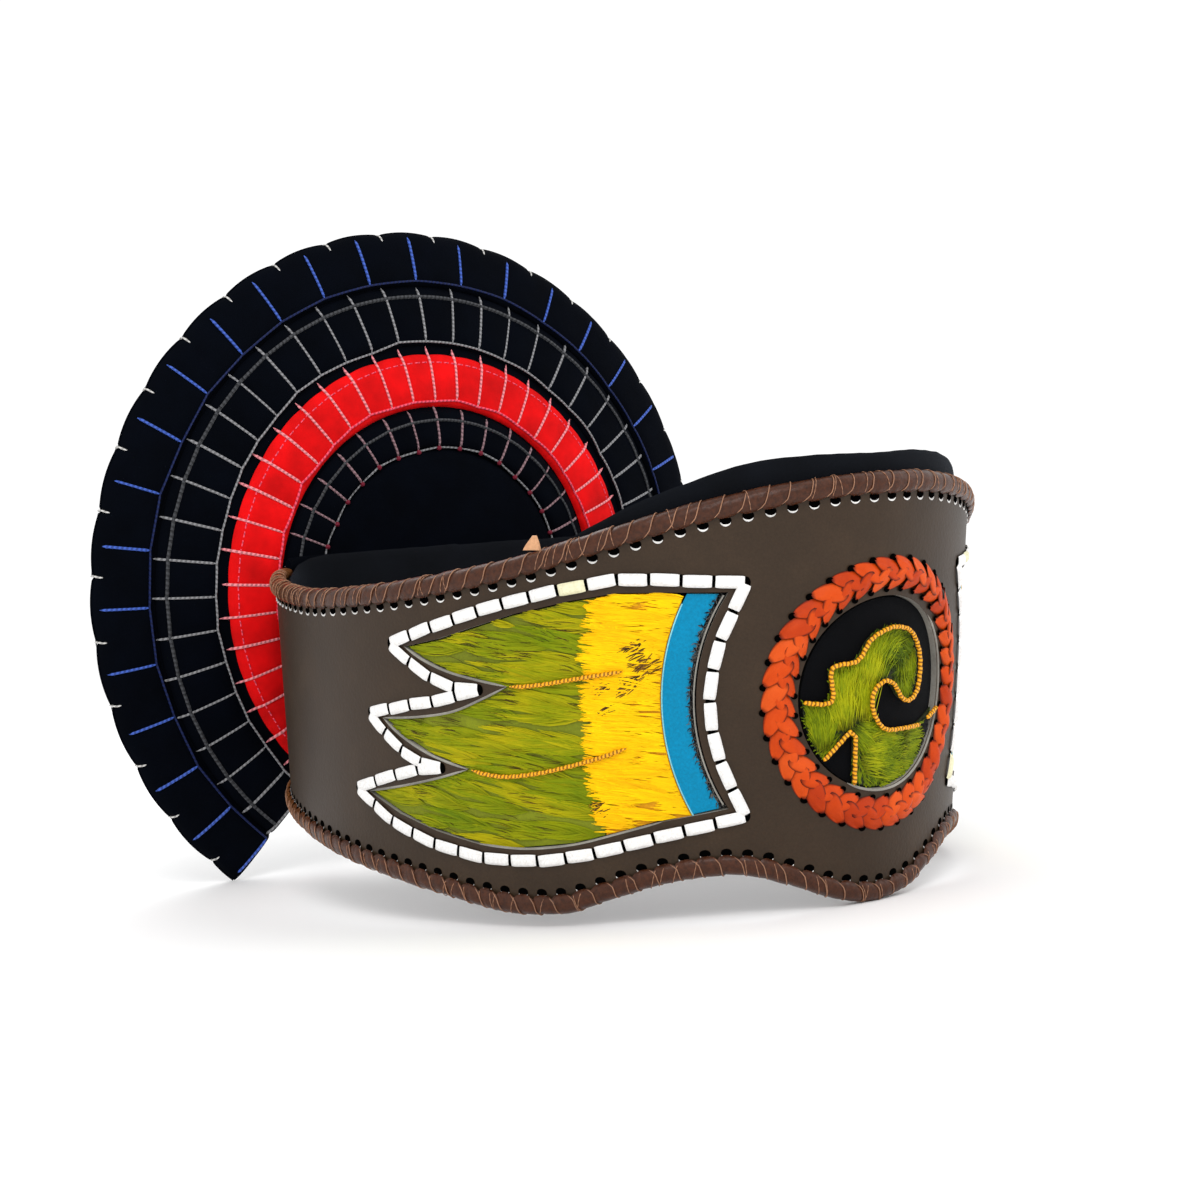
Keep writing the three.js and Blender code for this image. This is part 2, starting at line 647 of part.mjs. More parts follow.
add('headband_leather', 'leather', headbandLeather());
add('headband_lining', 'lining', headbandLining());
add('headband_back', 'black', headbandBack());
add('rim_lacing_top', 'lacing', rimLacing(TOP_EDGE, 1));
add('rim_lacing_bottom', 'lacing', rimLacing(BOTTOM_EDGE, -1));
add('lace_end', 'tan', laceEnd());
add('medallion_backing', 'felt', medallionBacking());
add('medallion_feathers', 'green', medallionFeathers());
add('medallion_cord_upper', 'gold', fretCord(FRET_UPPER, 40));
add('medallion_cord_lower', 'gold', fretCord(FRET_LOWER, 12));
add('medallion_braid', 'orange', medallionBraid());
for (const [word, side] of [['right', -1], ['left', 1]]) {
  for (const [piece, finish, geometry] of wingPieces(side)) {
    add(`wing_${piece}_${word}`, finish, geometry);
  }
}
add('fan_backing', 'black', fanBacking());
for (const [name, inner, outer, height] of TIERS) {
  add(name, name === 'fan_tier_3' ? 'red' : 'black', fanTier(inner, outer, height));
}

// The origin is on the floor, under the middle of the headdress.
const box = new THREE.Box3().setFromObject(headdress, true);
tilted.position.set(0, -(box.min.y + box.max.y) / 2, -box.min.z);

export default headdress;
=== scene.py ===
"""Feathered headdress: looks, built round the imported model.

The headband is drawn flat and then bent, as in the model. A place on it is (s, z, d) in
millimetres: s along the band from the middle of the front, positive towards the wearer's
left, z the height above the medallion's centre, and d the depth inwards from the leather's
outer face. A place on the fan is its radius, its angle from straight up and its distance in
front of the backing.
"""

import bisect
import math
import random
from collections import namedtuple

import bmesh
import bpy
from mathutils import Matrix, Vector, noise


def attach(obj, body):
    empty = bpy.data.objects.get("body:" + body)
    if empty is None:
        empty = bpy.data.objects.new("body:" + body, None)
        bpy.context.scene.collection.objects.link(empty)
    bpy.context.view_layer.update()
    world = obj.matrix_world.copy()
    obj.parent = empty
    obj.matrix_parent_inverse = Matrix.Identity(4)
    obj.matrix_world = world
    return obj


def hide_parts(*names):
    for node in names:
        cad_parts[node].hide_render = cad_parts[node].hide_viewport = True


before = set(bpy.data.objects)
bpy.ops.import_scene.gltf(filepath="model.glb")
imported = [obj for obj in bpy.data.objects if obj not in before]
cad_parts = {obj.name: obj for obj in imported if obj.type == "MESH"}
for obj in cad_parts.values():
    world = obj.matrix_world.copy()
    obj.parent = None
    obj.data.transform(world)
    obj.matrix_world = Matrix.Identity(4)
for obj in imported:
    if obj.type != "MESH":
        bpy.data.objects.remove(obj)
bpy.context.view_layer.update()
chance = random.Random(7)

# ---- the model's own numbers, in millimetres ------------------------------------------------
HALF_WIDTH, FRONT_DEPTH, BACK_Y, ROUNDING, POWER = 85, 110, 81, 4, 1.86
FLARE = 0.0005
LEATHER, LINING, GAP = 2.6, 2.0, 0.3
LEATHER_END = 232
TOP_EDGE = [(0, 47), (14, 46.5), (32, 44), (50, 40), (68, 34.5), (88, 28.5), (110, 23.5),
            (137, 19), (169, 16), (300, 16)]
BOTTOM_EDGE = [(0, -45.4), (11, -44), (21, -40.5), (31, -37.2), (41, -36.4), (50, -37.6),
               (59, -40), (69, -43.6), (79, -47), (90, -48), (101, -47.5), (114, -46),
               (143, -43.5), (184, -41), (300, -40)]
RIM_COVER, RIM_TOP = 3.4, 4.6
LINING_RISE = [(0, 5.4), (35, 6.8), (60, 4.8), (78, 1.3), (110, -0.3), (300, -0.3)]
LINING_LOW = 2
BACK_TOP = 22.5
STRAP_TURN = 20
MEDALLION_S, MEDALLION_Z = 0.8, -0.3
WINDOW_RADIUS = 22.8
BRAID_INNER, BRAID_OUTER = 24.6, 32
FELT = 1.2
FRET_UPPER = [(-22.4, -0.5), (-15.5, -0.5), (-15.5, 7), (-9, 8.5), (-5.5, 13), (-1.5, 15),
              (2.5, 15.5), (7.5, 14), (11, 9.5), (12, 4.5), (11, -0.5), (8, -2.5), (5, -1.5),
              (2, 2), (-1, 3), (-4, 1), (-4.5, -2.5), (-3, -6), (0, -8.5), (6, -9), (13, -9),
              (16.5, -8), (21.8, -6)]
FRET_LOWER = [(-17.3, -14.4), (-10.5, -8), (-9, -9.5), (-9, -20.8)]
CORD_RADIUS, FRET_FACE = 0.7, 0.5
WING_FRONT_RADIUS, WING_FRONT_TOP, WING_FRONT_BOTTOM = 46.3, 25.2, -25
WING_OUTLINE = [
    (54, 25.2), (64, 25), (75, 23), (90, 19.3), (102, 15.4), (111, 12.4), (122, 9.8),
    (116, 7), (109, 4.8), (101, 3.4), (92, 2.2),
    (99.5, -1.5), (108, -5), (119, -7.2), (131, -8.6),
    (125, -12.2), (115.5, -16), (104, -18.6),
    (113, -21.6), (125.5, -25), (138, -27.9),
    (126.5, -32), (114, -34.8), (102, -36.5), (89, -36.5), (76, -34.5), (64, -31), (54, -28),
]
WING_CORNERS = [(122, 9.8), (92, 2.2), (131, -8.6), (104, -18.6), (138, -27.9)]
BLUE_INNER, BLUE_OUTER, INLAY_FACE = 47.8, 54.2, 0.9
YELLOW_BACK, YELLOW_WAVE = 68, [(0, 2.5), (12, 2.2), (24, 0.5), (35, -1.5)]
LACE_OFFSET, LACE_WIDTH, LACE_THICK = 3.1, 2.9, 1.1
TIP_LIMIT, VALLEY_LIMIT = 1.45, 2.4      # how far a lace's corner reaches, in lace offsets
WING_CORD_UPPER = [(91, 2.3), (87.5, 2.5), (82, 3.3), (74, 4.9), (63, 6.9)]
WING_CORD_LOWER = [(102.5, -18.6), (99, -19.2), (93, -19.4), (85, -18.1), (77, -16), (69, -13.5),
                   (62.5, -11)]
FAN_HEIGHT, FAN_Y, FAN_DISH, FAN_LEAN = 9.5, 81.4, 0.0014, 0.055
FAN_HALF_ANGLE, FAN_CLOTH, FAN_CENTRE, FAN_RADIUS = 140, 2, 42.5, 109
FORWARD_TILT = math.radians(6.85)
SHIFT = Vector((0, 7.58, 62.336))

STANCE = Matrix.Scale(0.001, 4) @ Matrix.Translation(SHIFT) @ Matrix.Rotation(FORWARD_TILT, 4, "X")


# ---- places -----------------------------------------------------------------------------------
def plan_point(angle):
    bend = 2 / POWER
    x = HALF_WIDTH * abs(math.sin(angle)) ** bend
    reach = -FRONT_DEPTH * math.copysign(abs(math.cos(angle)) ** bend, math.cos(angle))
    before = (BACK_Y - reach) / ROUNDING
    return x, BACK_Y - ROUNDING * math.log(1 + math.exp(before))


PLAN = [plan_point(math.pi * i / 900) for i in range(901)]
WALKED = [0.0]
for (x0, y0), (x1, y1) in zip(PLAN, PLAN[1:]):
    WALKED.append(WALKED[-1] + math.hypot(x1 - x0, y1 - y0))
HALF_LOOP = WALKED[-1]


def plan_at(s):
    length = min(abs(s), HALF_LOOP)
    i = min(max(bisect.bisect_left(WALKED, length), 1), len(PLAN) - 1)
    t = (length - WALKED[i - 1]) / (WALKED[i] - WALKED[i - 1])
    (ax, ay), (bx, by) = PLAN[i - 1], PLAN[i]
    return math.copysign(ax + (bx - ax) * t, s), ay + (by - ay) * t


DEGREE = 57.3                    # degrees in one radian, rounded
CHORD = 1.5                      # half the length over which the wall's direction is taken


def wall(s, z, d):
    """A place on the headband, in the row frame."""
    middle = max(-HALF_LOOP + CHORD, min(HALF_LOOP - CHORD, s))
    ax, ay = plan_at(middle - CHORD)
    bx, by = plan_at(middle + CHORD)
    length = math.hypot(bx - ax, by - ay)
    x, y = plan_at(s)
    shift = FLARE * HALF_WIDTH * z - d
    return STANCE @ Vector((x + (by - ay) / length * shift, y - (bx - ax) / length * shift, z))


def fan(radius, degrees, lift):
    """A place on the fan, in the row frame."""
    angle = math.radians(degrees)
    h = radius * math.cos(angle)
    hold = min(1, (radius / FAN_RADIUS) ** 2) if h < 0 else 1
    y = FAN_Y + FAN_DISH * radius * radius + FAN_LEAN * h * hold - lift
    return STANCE @ Vector((radius * math.sin(angle), y, FAN_HEIGHT + h))


def between(table, at):
    """The smooth curve through a table's rows, by its first column."""
    x = abs(at)
    last = len(table) - 2
    i = 0
    while i < last and x > table[i + 1][0]:
        i += 1

    def slope(k):
        if k == 0:
            return 0
        lo, hi = table[max(k - 1, 0)], table[min(k + 1, len(table) - 1)]
        return (hi[1] - lo[1]) / (hi[0] - lo[0])

    (x0, y0), (x1, y1) = table[i], table[i + 1]
    w = x1 - x0
    t = min((x - x0) / w, 1)
    level = y0 * (1 + 2 * t) * (1 - t) ** 2 + y1 * t * t * (3 - 2 * t)
    return level + w * (slope(i) * t * (1 - t) ** 2 - slope(i + 1) * t * t * (1 - t))


def smooth_line(points, t):
    """The point at t, from 0 to 1, of the smooth curve through some points of any length."""
    n = len(points) - 1
    x = min(max(t, 0), 1) * n
    i = min(int(x), n - 1)
    f = x - i
    p0, p1 = points[max(i - 1, 0)], points[i]
    p2, p3 = points[i + 1], points[min(i + 2, n)]
    return tuple(0.5 * (2 * b + (c - a) * f + (2 * a - 5 * b + 4 * c - d) * f * f
                        + (3 * b - a - 3 * c + d) * f ** 3)
                 for a, b, c, d in zip(p0, p1, p2, p3))


def lengths(path):
    run = [0.0]
    for a, b in zip(path, path[1:]):
        run.append(run[-1] + math.dist(a, b))
    return run


def along(path, run, at):
    """The point at a length along a path, and the path's direction there."""
    i = min(max(bisect.bisect_right(run, at), 1), len(path) - 1)
    a, b = path[i - 1], path[i]
    step = run[i] - run[i - 1]
    t = min(max((at - run[i - 1]) / step, 0), 1)
    return ([p + (q - p) * t for p, q in zip(a, b)], [(q - p) / step for p, q in zip(a, b)])


def smooth_path(points, step):
    """A smooth curve through points, as points about a step apart."""
    count = max(2, round(lengths(points)[-1] / step))
    dense = [smooth_line(points, i / (6 * count)) for i in range(6 * count + 1)]
    run = lengths(dense)
    return [along(dense, run, run[-1] * i / count)[0] for i in range(count + 1)]


def polar(radius, angle):
    return radius * math.cos(angle), radius * math.sin(angle)


def arc(radius, start, end, count):
    return [polar(radius, start + (end - start) * i / count) for i in range(count + 1)]


def offset_loop(path, distance):
    """A closed path moved sideways by an even distance. A sharp corner's mitre is cut short,
    most of all on its outer side."""
    n = len(path)

    def normal(a, b):
        length = math.dist(a, b)
        return -(b[1] - a[1]) / length, (b[0] - a[0]) / length

    moved = []
    for i, p in enumerate(path):
        n0, n1 = normal(path[i - 1], p), normal(p, path[(i + 1) % n])
        mitre = 1 + n0[0] * n1[0] + n0[1] * n1[1]
        convex = (n0[0] * n1[1] - n0[1] * n1[0]) * distance < 0
        limit = (TIP_LIMIT if convex else VALLEY_LIMIT) / math.sqrt(2 * mitre)
        scale = distance * min(1 / mitre, limit)
        moved.append((p[0] + (n0[0] + n1[0]) * scale, p[1] + (n0[1] + n1[1]) * scale))
    return moved


def on_medallion(s, z):
    """A place measured from the medallion's own centre."""
    return s + MEDALLION_S, z + MEDALLION_Z


FRONT_STEPS = 24                 # in the wing window's curved front edge


def wing_outline():
    top = math.asin(WING_FRONT_TOP / WING_FRONT_RADIUS)
    bottom = math.asin(WING_FRONT_BOTTOM / WING_FRONT_RADIUS)
    return arc(WING_FRONT_RADIUS, bottom, top, FRONT_STEPS) + WING_OUTLINE


def mirror(path, side):
    return [(s * side, z) for s, z in path]


def turned(angle, side):
    """A direction on the wall, the other way round on the wearer's right."""
    return angle if side > 0 else math.pi - angle


def inside(outline, s, z):
    """Whether a point lies inside a closed outline."""
    hit = False
    for (s0, z0), (s1, z1) in zip(outline, outline[1:] + outline[:1]):
        if (z0 > z) != (z1 > z) and s < s0 + (z - z0) * (s1 - s0) / (z1 - z0):
            hit = not hit
    return hit


# ---- making shapes ----------------------------------------------------------------------------
LAST = 1 - 1e-6                  # past this a closed way is back where it began, so it meets
WELD = 1e-7                      # metres


def faces_round(verts):
    """The faces that meet some corners, each once and always in the same order."""
    return list(dict.fromkeys(f for v in verts for f in v.link_faces))


def patch(bm, nu, nv, place, uv=None, index=0, close_u=False, close_v=False, fill=False):
    """A grid whose corners run over u and v from 0 to 1, put where place(u, v) says. A closed
    way is welded along its seam, and with fill its open ends are filled. uv(u, v) gives the
    UV map, and index the material."""
    layer = bm.loops.layers.uv.verify()
    verts = bmesh.ops.create_grid(bm, x_segments=nu, y_segments=nv, size=0.5)["verts"]
    at = {v: (v.co.x + 0.5, v.co.y + 0.5) for v in verts}
    for f in faces_round(verts):
        f.material_index = index
        f.smooth = True
        for loop in f.loops:
            u, v = at[loop.vert]
            loop[layer].uv = uv(u, v) if uv else (u, v)
    for v, (a, b) in at.items():
        v.co = place(0 if close_u and a > LAST else a, 0 if close_v and b > LAST else b)
    if close_u or close_v:
        bmesh.ops.remove_doubles(bm, verts=[v for v in verts if v.is_boundary], dist=WELD)
    alive = [v for v in verts if v.is_valid]
    if fill:
        edges = dict.fromkeys(e for v in alive for e in v.link_edges if e.is_boundary)
        bmesh.ops.holes_fill(bm, edges=list(edges), sides=0)
    if fill or (close_u and close_v):
        bmesh.ops.recalc_face_normals(bm, faces=faces_round(alive))


def sideways(points):
    """Two sideways axes at each point of a path, turning as little as possible."""
    out = []
    side = (points[1] - points[0]).orthogonal()
    for before, after in zip(points[:1] + points[:-1], points[1:] + points[-1:]):
        way = (after - before).normalized()
        side = (side - way * side.dot(way)).normalized()
        out.append((side, way.cross(side)))
    return out


def tube(bm, points, radius, sides=6, index=0, taper=0.0, shape=None):
    """A round thread or cord through points in the row frame. radius, and taper, the length
    over which each end thins, are in millimetres. shape(length in mm, angle) scales the
    radius, as for a twist."""
    points = [Vector(p) for p in points]
    axes = sideways(points)
    run = [x * 1000 for x in lengths(points)]
    steps = len(points) - 1

    def place(u, v):
        i = round(u * steps)
        side, up = axes[i]
        angle = 2 * math.pi * v
        r = radius * 0.001
        if shape:
            r *= shape(run[i], angle)
        if taper:
            r *= min(1, max(0.25, math.sqrt(min(run[i], run[-1] - run[i]) / taper)))
        return points[i] + side * math.cos(angle) * r + up * math.sin(angle) * r

    patch(bm, steps, sides, place, uv=lambda u, v: (u * run[-1], v), index=index, close_v=True,
          fill=True)


def spot(bm, s, z, wide, high, depth, index):
    """A small flat oval on the wall, facing out."""
    ring = bmesh.ops.create_circle(bm, cap_ends=True, segments=12, radius=1)["verts"]
    for v in ring:
        v.co = wall(s + v.co.x * wide, z + v.co.y * high, depth)
    for f in faces_round(ring):
        f.material_index = index
        f.normal_update()
        if f.normal.dot(wall(s, z, depth - 1) - wall(s, z, depth)) < 0:
            f.normal_flip()


def twist(lobes, pitch, depth):
    """The section of a cord laid from strands, for tube()."""
    turn = 2 * math.pi / (pitch * lobes)
    return lambda run, angle: 1 - depth + depth * abs(math.cos((angle - run * turn) * lobes / 2))


def panel(bm, outlines, d0, d1, step, index=0, wall_index=None):
    """A flat border with holes, filled, cut into strips, given thickness and bent to the wall.
    d0 and d1 are the depths of its outer and inner face, and wall_index the material between."""
    flat = bmesh.new()
    edges = []
    for outline in outlines:
        corners = [flat.verts.new((s, z, 0)) for s, z in outline]
        edges += [flat.edges.new(pair) for pair in zip(corners, corners[1:] + corners[:1])]
    bmesh.ops.triangle_fill(flat, use_beauty=True, edges=edges)
    low = min(s for s, _ in outlines[0])
    high = max(s for s, _ in outlines[0])
    for k in range(math.ceil(low / step), math.floor(high / step) + 1):
        geometry = flat.verts[:] + flat.edges[:] + flat.faces[:]
        bmesh.ops.bisect_plane(flat, geom=geometry, plane_co=(k * step, 0, 0), plane_no=(1, 0, 0))
    lifted = bmesh.ops.extrude_face_region(flat, geom=flat.faces[:])["geom"]
    for v in lifted:
        if isinstance(v, bmesh.types.BMVert):
            v.co.z = 1
    bmesh.ops.recalc_face_normals(flat, faces=flat.faces)
    flat.normal_update()
    layer = flat.loops.layers.uv.verify()
    for f in flat.faces:
        side = abs(f.normal.z) < 0.5
        f.material_index = wall_index if side and wall_index is not None else index
        f.smooth = True
        for loop in f.loops:
            loop[layer].uv = (loop.vert.co.x, loop.vert.co.y)
    for v in flat.verts:
        s, z, t = v.co
        v.co = wall(s, z, d1 + (d0 - d1) * t)
    bmesh.ops.recalc_face_normals(flat, faces=flat.faces)
    held = bpy.data.meshes.new("held")
    flat.to_mesh(held)
    flat.free()
    bm.from_mesh(held)
    bpy.data.meshes.remove(held)


def piece(name, bm, materials, slot, *nodes, sharp=50, recalc=True, fill=None):
    if recalc:
        bmesh.ops.recalc_face_normals(bm, faces=bm.faces)
    mesh = bpy.data.meshes.new(name)
    bm.to_mesh(mesh)
    bm.free()
    mesh.set_sharp_from_angle(angle=math.radians(sharp))
    obj = bpy.data.objects.new(name, mesh)
    for m in materials:
        mesh.materials.append(m)
    bpy.context.collection.objects.link(obj)
    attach(obj, "root")
    if nodes:
        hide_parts(*nodes)


# ---- materials --------------------------------------------------------------------------------
class Look:
    """A node material. Colours are linear."""

    def __init__(self, name, colour, roughness, **sockets):
        self.material = bpy.data.materials.new(name)
        self.material.use_nodes = True
        self.tree = self.material.node_tree
        self.shader = self.tree.nodes["Principled BSDF"]
        self.set("Base Color", (*colour, 1))
        self.set("Roughness", roughness)
        for key, value in sockets.items():
            self.set(key.replace("_", " "), value)
        self.bump = None

    def set(self, socket, value):
        self.shader.inputs[socket].default_value = value

    def node(self, kind, inputs, **facts):
        """A node whose inputs are linked to sockets or set to values."""
        made = self.tree.nodes.new(kind)
        for key, value in facts.items():
            setattr(made, key, value)
        for key, value in inputs.items():
            if isinstance(value, bpy.types.NodeSocket):
                self.tree.links.new(value, made.inputs[key])
            else:
                made.inputs[key].default_value = value
        return made

    def link(self, out, socket):
        self.tree.links.new(out, self.shader.inputs[socket])

    def where(self, scale=(1, 1, 1), kind="Object"):
        """Coordinates, in millimetres for an object."""
        unit = 1000 if kind == "Object" else 1
        coords = self.node("ShaderNodeTexCoord", {})
        stretch = tuple(unit * x for x in scale)
        mapping = self.node("ShaderNodeMapping", {"Vector": coords.outputs[kind], "Scale": stretch})
        return mapping.outputs["Vector"]

    def axes(self, place):
        return self.node("ShaderNodeSeparateXYZ", {"Vector": place}).outputs

    def noise(self, scale, detail=4, roughness=0.6):
        made = self.node("ShaderNodeTexNoise", {"Vector": self.where(), "Scale": scale,
                                                "Detail": detail, "Roughness": roughness})
        return made.outputs["Fac"]

    def cells(self, scale):
        made = self.node("ShaderNodeTexVoronoi", {"Vector": self.where(), "Scale": scale})
        return made.outputs["Distance"]

    def wave(self, scale, place, distortion, direction):
        made = self.node("ShaderNodeTexWave", {"Vector": place, "Scale": scale,
                                               "Distortion": distortion}, bands_direction=direction)
        return made.outputs["Fac"]

    def math(self, operation, a, b=0.0):
        return self.node("ShaderNodeMath", {0: a, 1: b}, operation=operation).outputs[0]

    def ramp(self, fac, *stops):
        """stops are (place, colour) with linear colours."""
        made = self.node("ShaderNodeValToRGB", {"Fac": fac})
        points = made.color_ramp.elements
        while len(points) < len(stops):
            points.new(0.5)
        for point, (place, colour) in zip(points, stops):
            point.position = place
            point.color = (*colour, 1)
        return made.outputs["Color"]

    def mix(self, fac, a, b, blend="MIX"):
        inputs = {0: fac, 6: a, 7: b}
        return self.node("ShaderNodeMix", inputs, data_type="RGBA", blend_type=blend).outputs[2]

    def times(self, a, b):
        """One colour multiplied by another."""
        return self.mix(1, a, b, "MULTIPLY")

    def roughen(self, height, strength, distance):
        """Adds a bump, distance in millimetres."""
        facts = {"Height": height, "Strength": strength, "Distance": distance * 0.001}
        if self.bump:
            facts["Normal"] = self.bump
        self.bump = self.node("ShaderNodeBump", facts).outputs["Normal"]
        self.link(self.bump, "Normal")
        return self


def shades(colour, *levels):
    return [tuple(min(1, c * k) for c in colour) for k in levels]


def leather_look(name, colour, roughness=0.5, grain=0.9, wear=0.35, bump=0.25, gloss=0.35):
    look = Look(name, colour, roughness, Specular_IOR_Level=gloss)
    dark, plain, light = shades(colour, 1 - wear * 0.6, 1, 1 + wear)
    broad = look.noise(0.06, 3)
    fine = look.noise(1.6, 5, 0.7)
    tone = look.ramp(broad, (0.3, dark), (0.55, plain), (0.75, light))
    speck = look.ramp(fine, (0.3, (0.82, 0.8, 0.78)), (0.7, (1.12, 1.12, 1.14)))
    look.link(look.times(tone, speck), "Base Color")
    look.roughen(look.cells(1 / grain), bump, 0.12)
    look.roughen(look.noise(0.5, 6, 0.65), bump * 0.8, 0.25)
    shine = look.node("ShaderNodeMapRange", {"Value": fine, "To Min": roughness - 0.08,
                                             "To Max": roughness + 0.12})
    look.link(shine.outputs[0], "Roughness")
    return look.material


def cloth_look(name, colour, weave=0.5, sheen=0.15, roughness=0.9, bump=0.3, tint=None, gloss=0.1):
    look = Look(name, colour, roughness, Sheen_Weight=sheen, Sheen_Roughness=0.4,
                Specular_IOR_Level=gloss)
    if tint:
        look.set("Sheen Tint", (*tint, 1))
    broad = look.noise(0.08, 3)
    dark, light = shades(colour, 0.75, 1.3)
    look.link(look.ramp(broad, (0.3, dark), (0.7, light)), "Base Color")
    place = look.where()
    threads = look.math("MULTIPLY", look.wave(1 / weave, place, 0.4, "X"),
                        look.wave(1 / weave, place, 0.4, "Z"))
    look.roughen(threads, bump, 0.08)
    look.roughen(look.noise(0.35, 4), bump * 0.7, 0.4)
    return look.material


def thread_look(name, colour, roughness=0.55, pitch=0.7, groove_shade=0.6):
    """A twisted thread, its strands drawn slanting on the tube's own UV map, with painted shade in the
    grooves between them.
    """
    look = Look(name, colour, roughness, Specular_IOR_Level=0.25)
    place = look.where((1 / pitch, 1, 1), "UV")
    strands = look.wave(0.32, place, 0.6, "DIAGONAL")
    # painted shade: the grooves between the strands are darkened
    dark, light = shades(colour, groove_shade, 1.15)
    look.link(look.ramp(strands, (0.2, dark), (0.7, light)), "Base Color")
    look.roughen(strands, 0.5, 0.15)
    return look.material


def lace_look(name, colour, roughness):
    """Glossy brown lace, paler towards the band's rear ends."""
    look = Look(name, colour, roughness, Specular_IOR_Level=0.25)
    fine = look.noise(0.9, 5, 0.7)
    dark, light = shades(colour, 0.55, 1.7)
    tone = look.ramp(fine, (0.3, dark), (0.72, light))
    back = look.axes(look.where())["Y"]
    end = look.node("ShaderNodeMapRange", {"Value": back, "From Min": 25.0, "From Max": 80.0})
    look.link(look.mix(end.outputs[0], tone, (0.16, 0.058, 0.015, 1)), "Base Color")
    look.roughen(look.noise(0.8, 6, 0.7), 0.45, 0.3)
    look.roughen(look.cells(0.9), 0.25, 0.1)
    return look.material


LEAF_SHADES = 8


def leaf_look(name, *colours):
    """Flat laces. Each one's own tone is the whole part of u, and its rest runs across the lace. Painted
    shade darkens each lace along its edges and at both ends, where it meets its neighbours and dives in
    its holes.
    """
    look = Look(name, colours[1], 0.5, Specular_IOR_Level=0.15)
    uv = look.axes(look.where(kind="UV"))
    shade = look.math("MULTIPLY", look.math("FLOOR", uv["X"]), 0.6 / LEAF_SHADES)
    own = look.math("ADD", shade, look.math("MULTIPLY", look.noise(0.35, 4), 0.4))
    tone = look.ramp(own, *((0.2 + 0.3 * i, c) for i, c in enumerate(colours)))
    # painted shade: dark along each lace's two edges and at its root and tip
    dark, full = (0.10, 0.07, 0.07), (1, 1, 1)
    across = look.ramp(look.math("FRACT", uv["X"]), (0.02, dark), (0.14, full), (0.86, full),
                       (0.98, dark))
    end_shade = look.ramp(uv["Y"], (0.0, dark), (0.2, full), (0.9, full), (1.0, dark))
    look.link(look.times(look.times(tone, across), end_shade), "Base Color")
    look.roughen(look.noise(0.7, 6, 0.7), 0.55, 0.25)
    return look.material


def barb_look(name, *colours, patches=0.09, root=0.5):
    """Down barbs: each blade's own tone is its u, and v runs from its root to its tip. Painted shade
    darkens each blade towards its root, where others lie over it, and it grows a little lighter towards
    its tip.
    """
    look = Look(name, colours[1], 0.6, Specular_IOR_Level=0.1)
    uv = look.axes(look.where(kind="UV"))
    own = uv["X"]
    field = look.noise(patches, 3, 0.6)
    shade = look.math("ADD", look.math("MULTIPLY", own, 0.55), look.math("MULTIPLY", field, 0.6))
    count = len(colours)
    stops = [(0.18 + 0.62 * i / (count - 1), c) for i, c in enumerate(colours)]
    tone = look.ramp(shade, *stops)
    # painted shade: darker at the root under the barbs that lie over it, a little lighter at the tip
    root = look.ramp(uv["Y"], (0.0, (root, root, root)), (0.35, (0.95, 0.95, 0.95)),
                     (1.0, (1.1, 1.1, 1.1)))
    look.link(look.times(tone, root), "Base Color")
    look.roughen(look.noise(3.0, 3), 0.3, 0.1)
    return look.material


BAND_LEATHER = leather_look("band_leather", (0.036, 0.0215, 0.0115), 0.45, wear=0.2, gloss=0.2)
# the pale colour of cut leather edges; on the medallion window's lit arc it is also a painted highlight
CUT_EDGE_AND_HIGHLIGHT = leather_look("cut_edge", (0.26, 0.25, 0.22), 0.8, grain=0.5, wear=0.5)
RIM_LACE = lace_look("rim_lace", (0.046, 0.0130, 0.0045), 0.30)
LACE_EDGE = leather_look("lace_edge", (0.30, 0.15, 0.085), 0.6)
TAN = leather_look("tan", (0.62, 0.33, 0.17), 0.65)
# painted shade: a flat black disc stands for the shadowed inside of each punched hole
HOLE_SHADE = Look("hole", (0.001, 0.001, 0.001), 0.9, Specular_IOR_Level=0.0).material
# painted highlight: the pale crescent on the lower lip of each lacing hole
LIP_HIGHLIGHT = leather_look("painted_lip_highlight", (0.74, 0.73, 0.71), 0.4, bump=0.1)
VELVET = cloth_look("velvet", (0.0022, 0.0030, 0.0050), 0.35, 0.04, tint=(0.4, 0.5, 0.7), gloss=0.12)
FELT_LOOK = cloth_look("felt", (0.0016, 0.0018, 0.0026), 0.3, 0.02, gloss=0.08)
FAN_BLACK = cloth_look("fan_black", (0.0006, 0.0012, 0.0030), 0.45, 0.0, 0.8, 0.2, gloss=0.03)
FAN_RED = cloth_look("fan_red", (0.66, 0.002, 0.003), 0.45, 0.0, 0.8, 0.15, gloss=0.10)
BLUE = leather_look("blue_leather", (0.0, 0.215, 0.40), 0.6, wear=0.05, bump=0.1, gloss=0.12)
BLUE_EDGE = leather_look("blue_edge", (0.22, 0.60, 0.66), 0.7)
WHITE = leather_look("white_lace", (0.84, 0.835, 0.82), 0.45, wear=0.03, bump=0.1, gloss=0.3)
YELLOWED = leather_look("yellowed_lace", (0.80, 0.77, 0.52), 0.5, wear=0.10, bump=0.1)
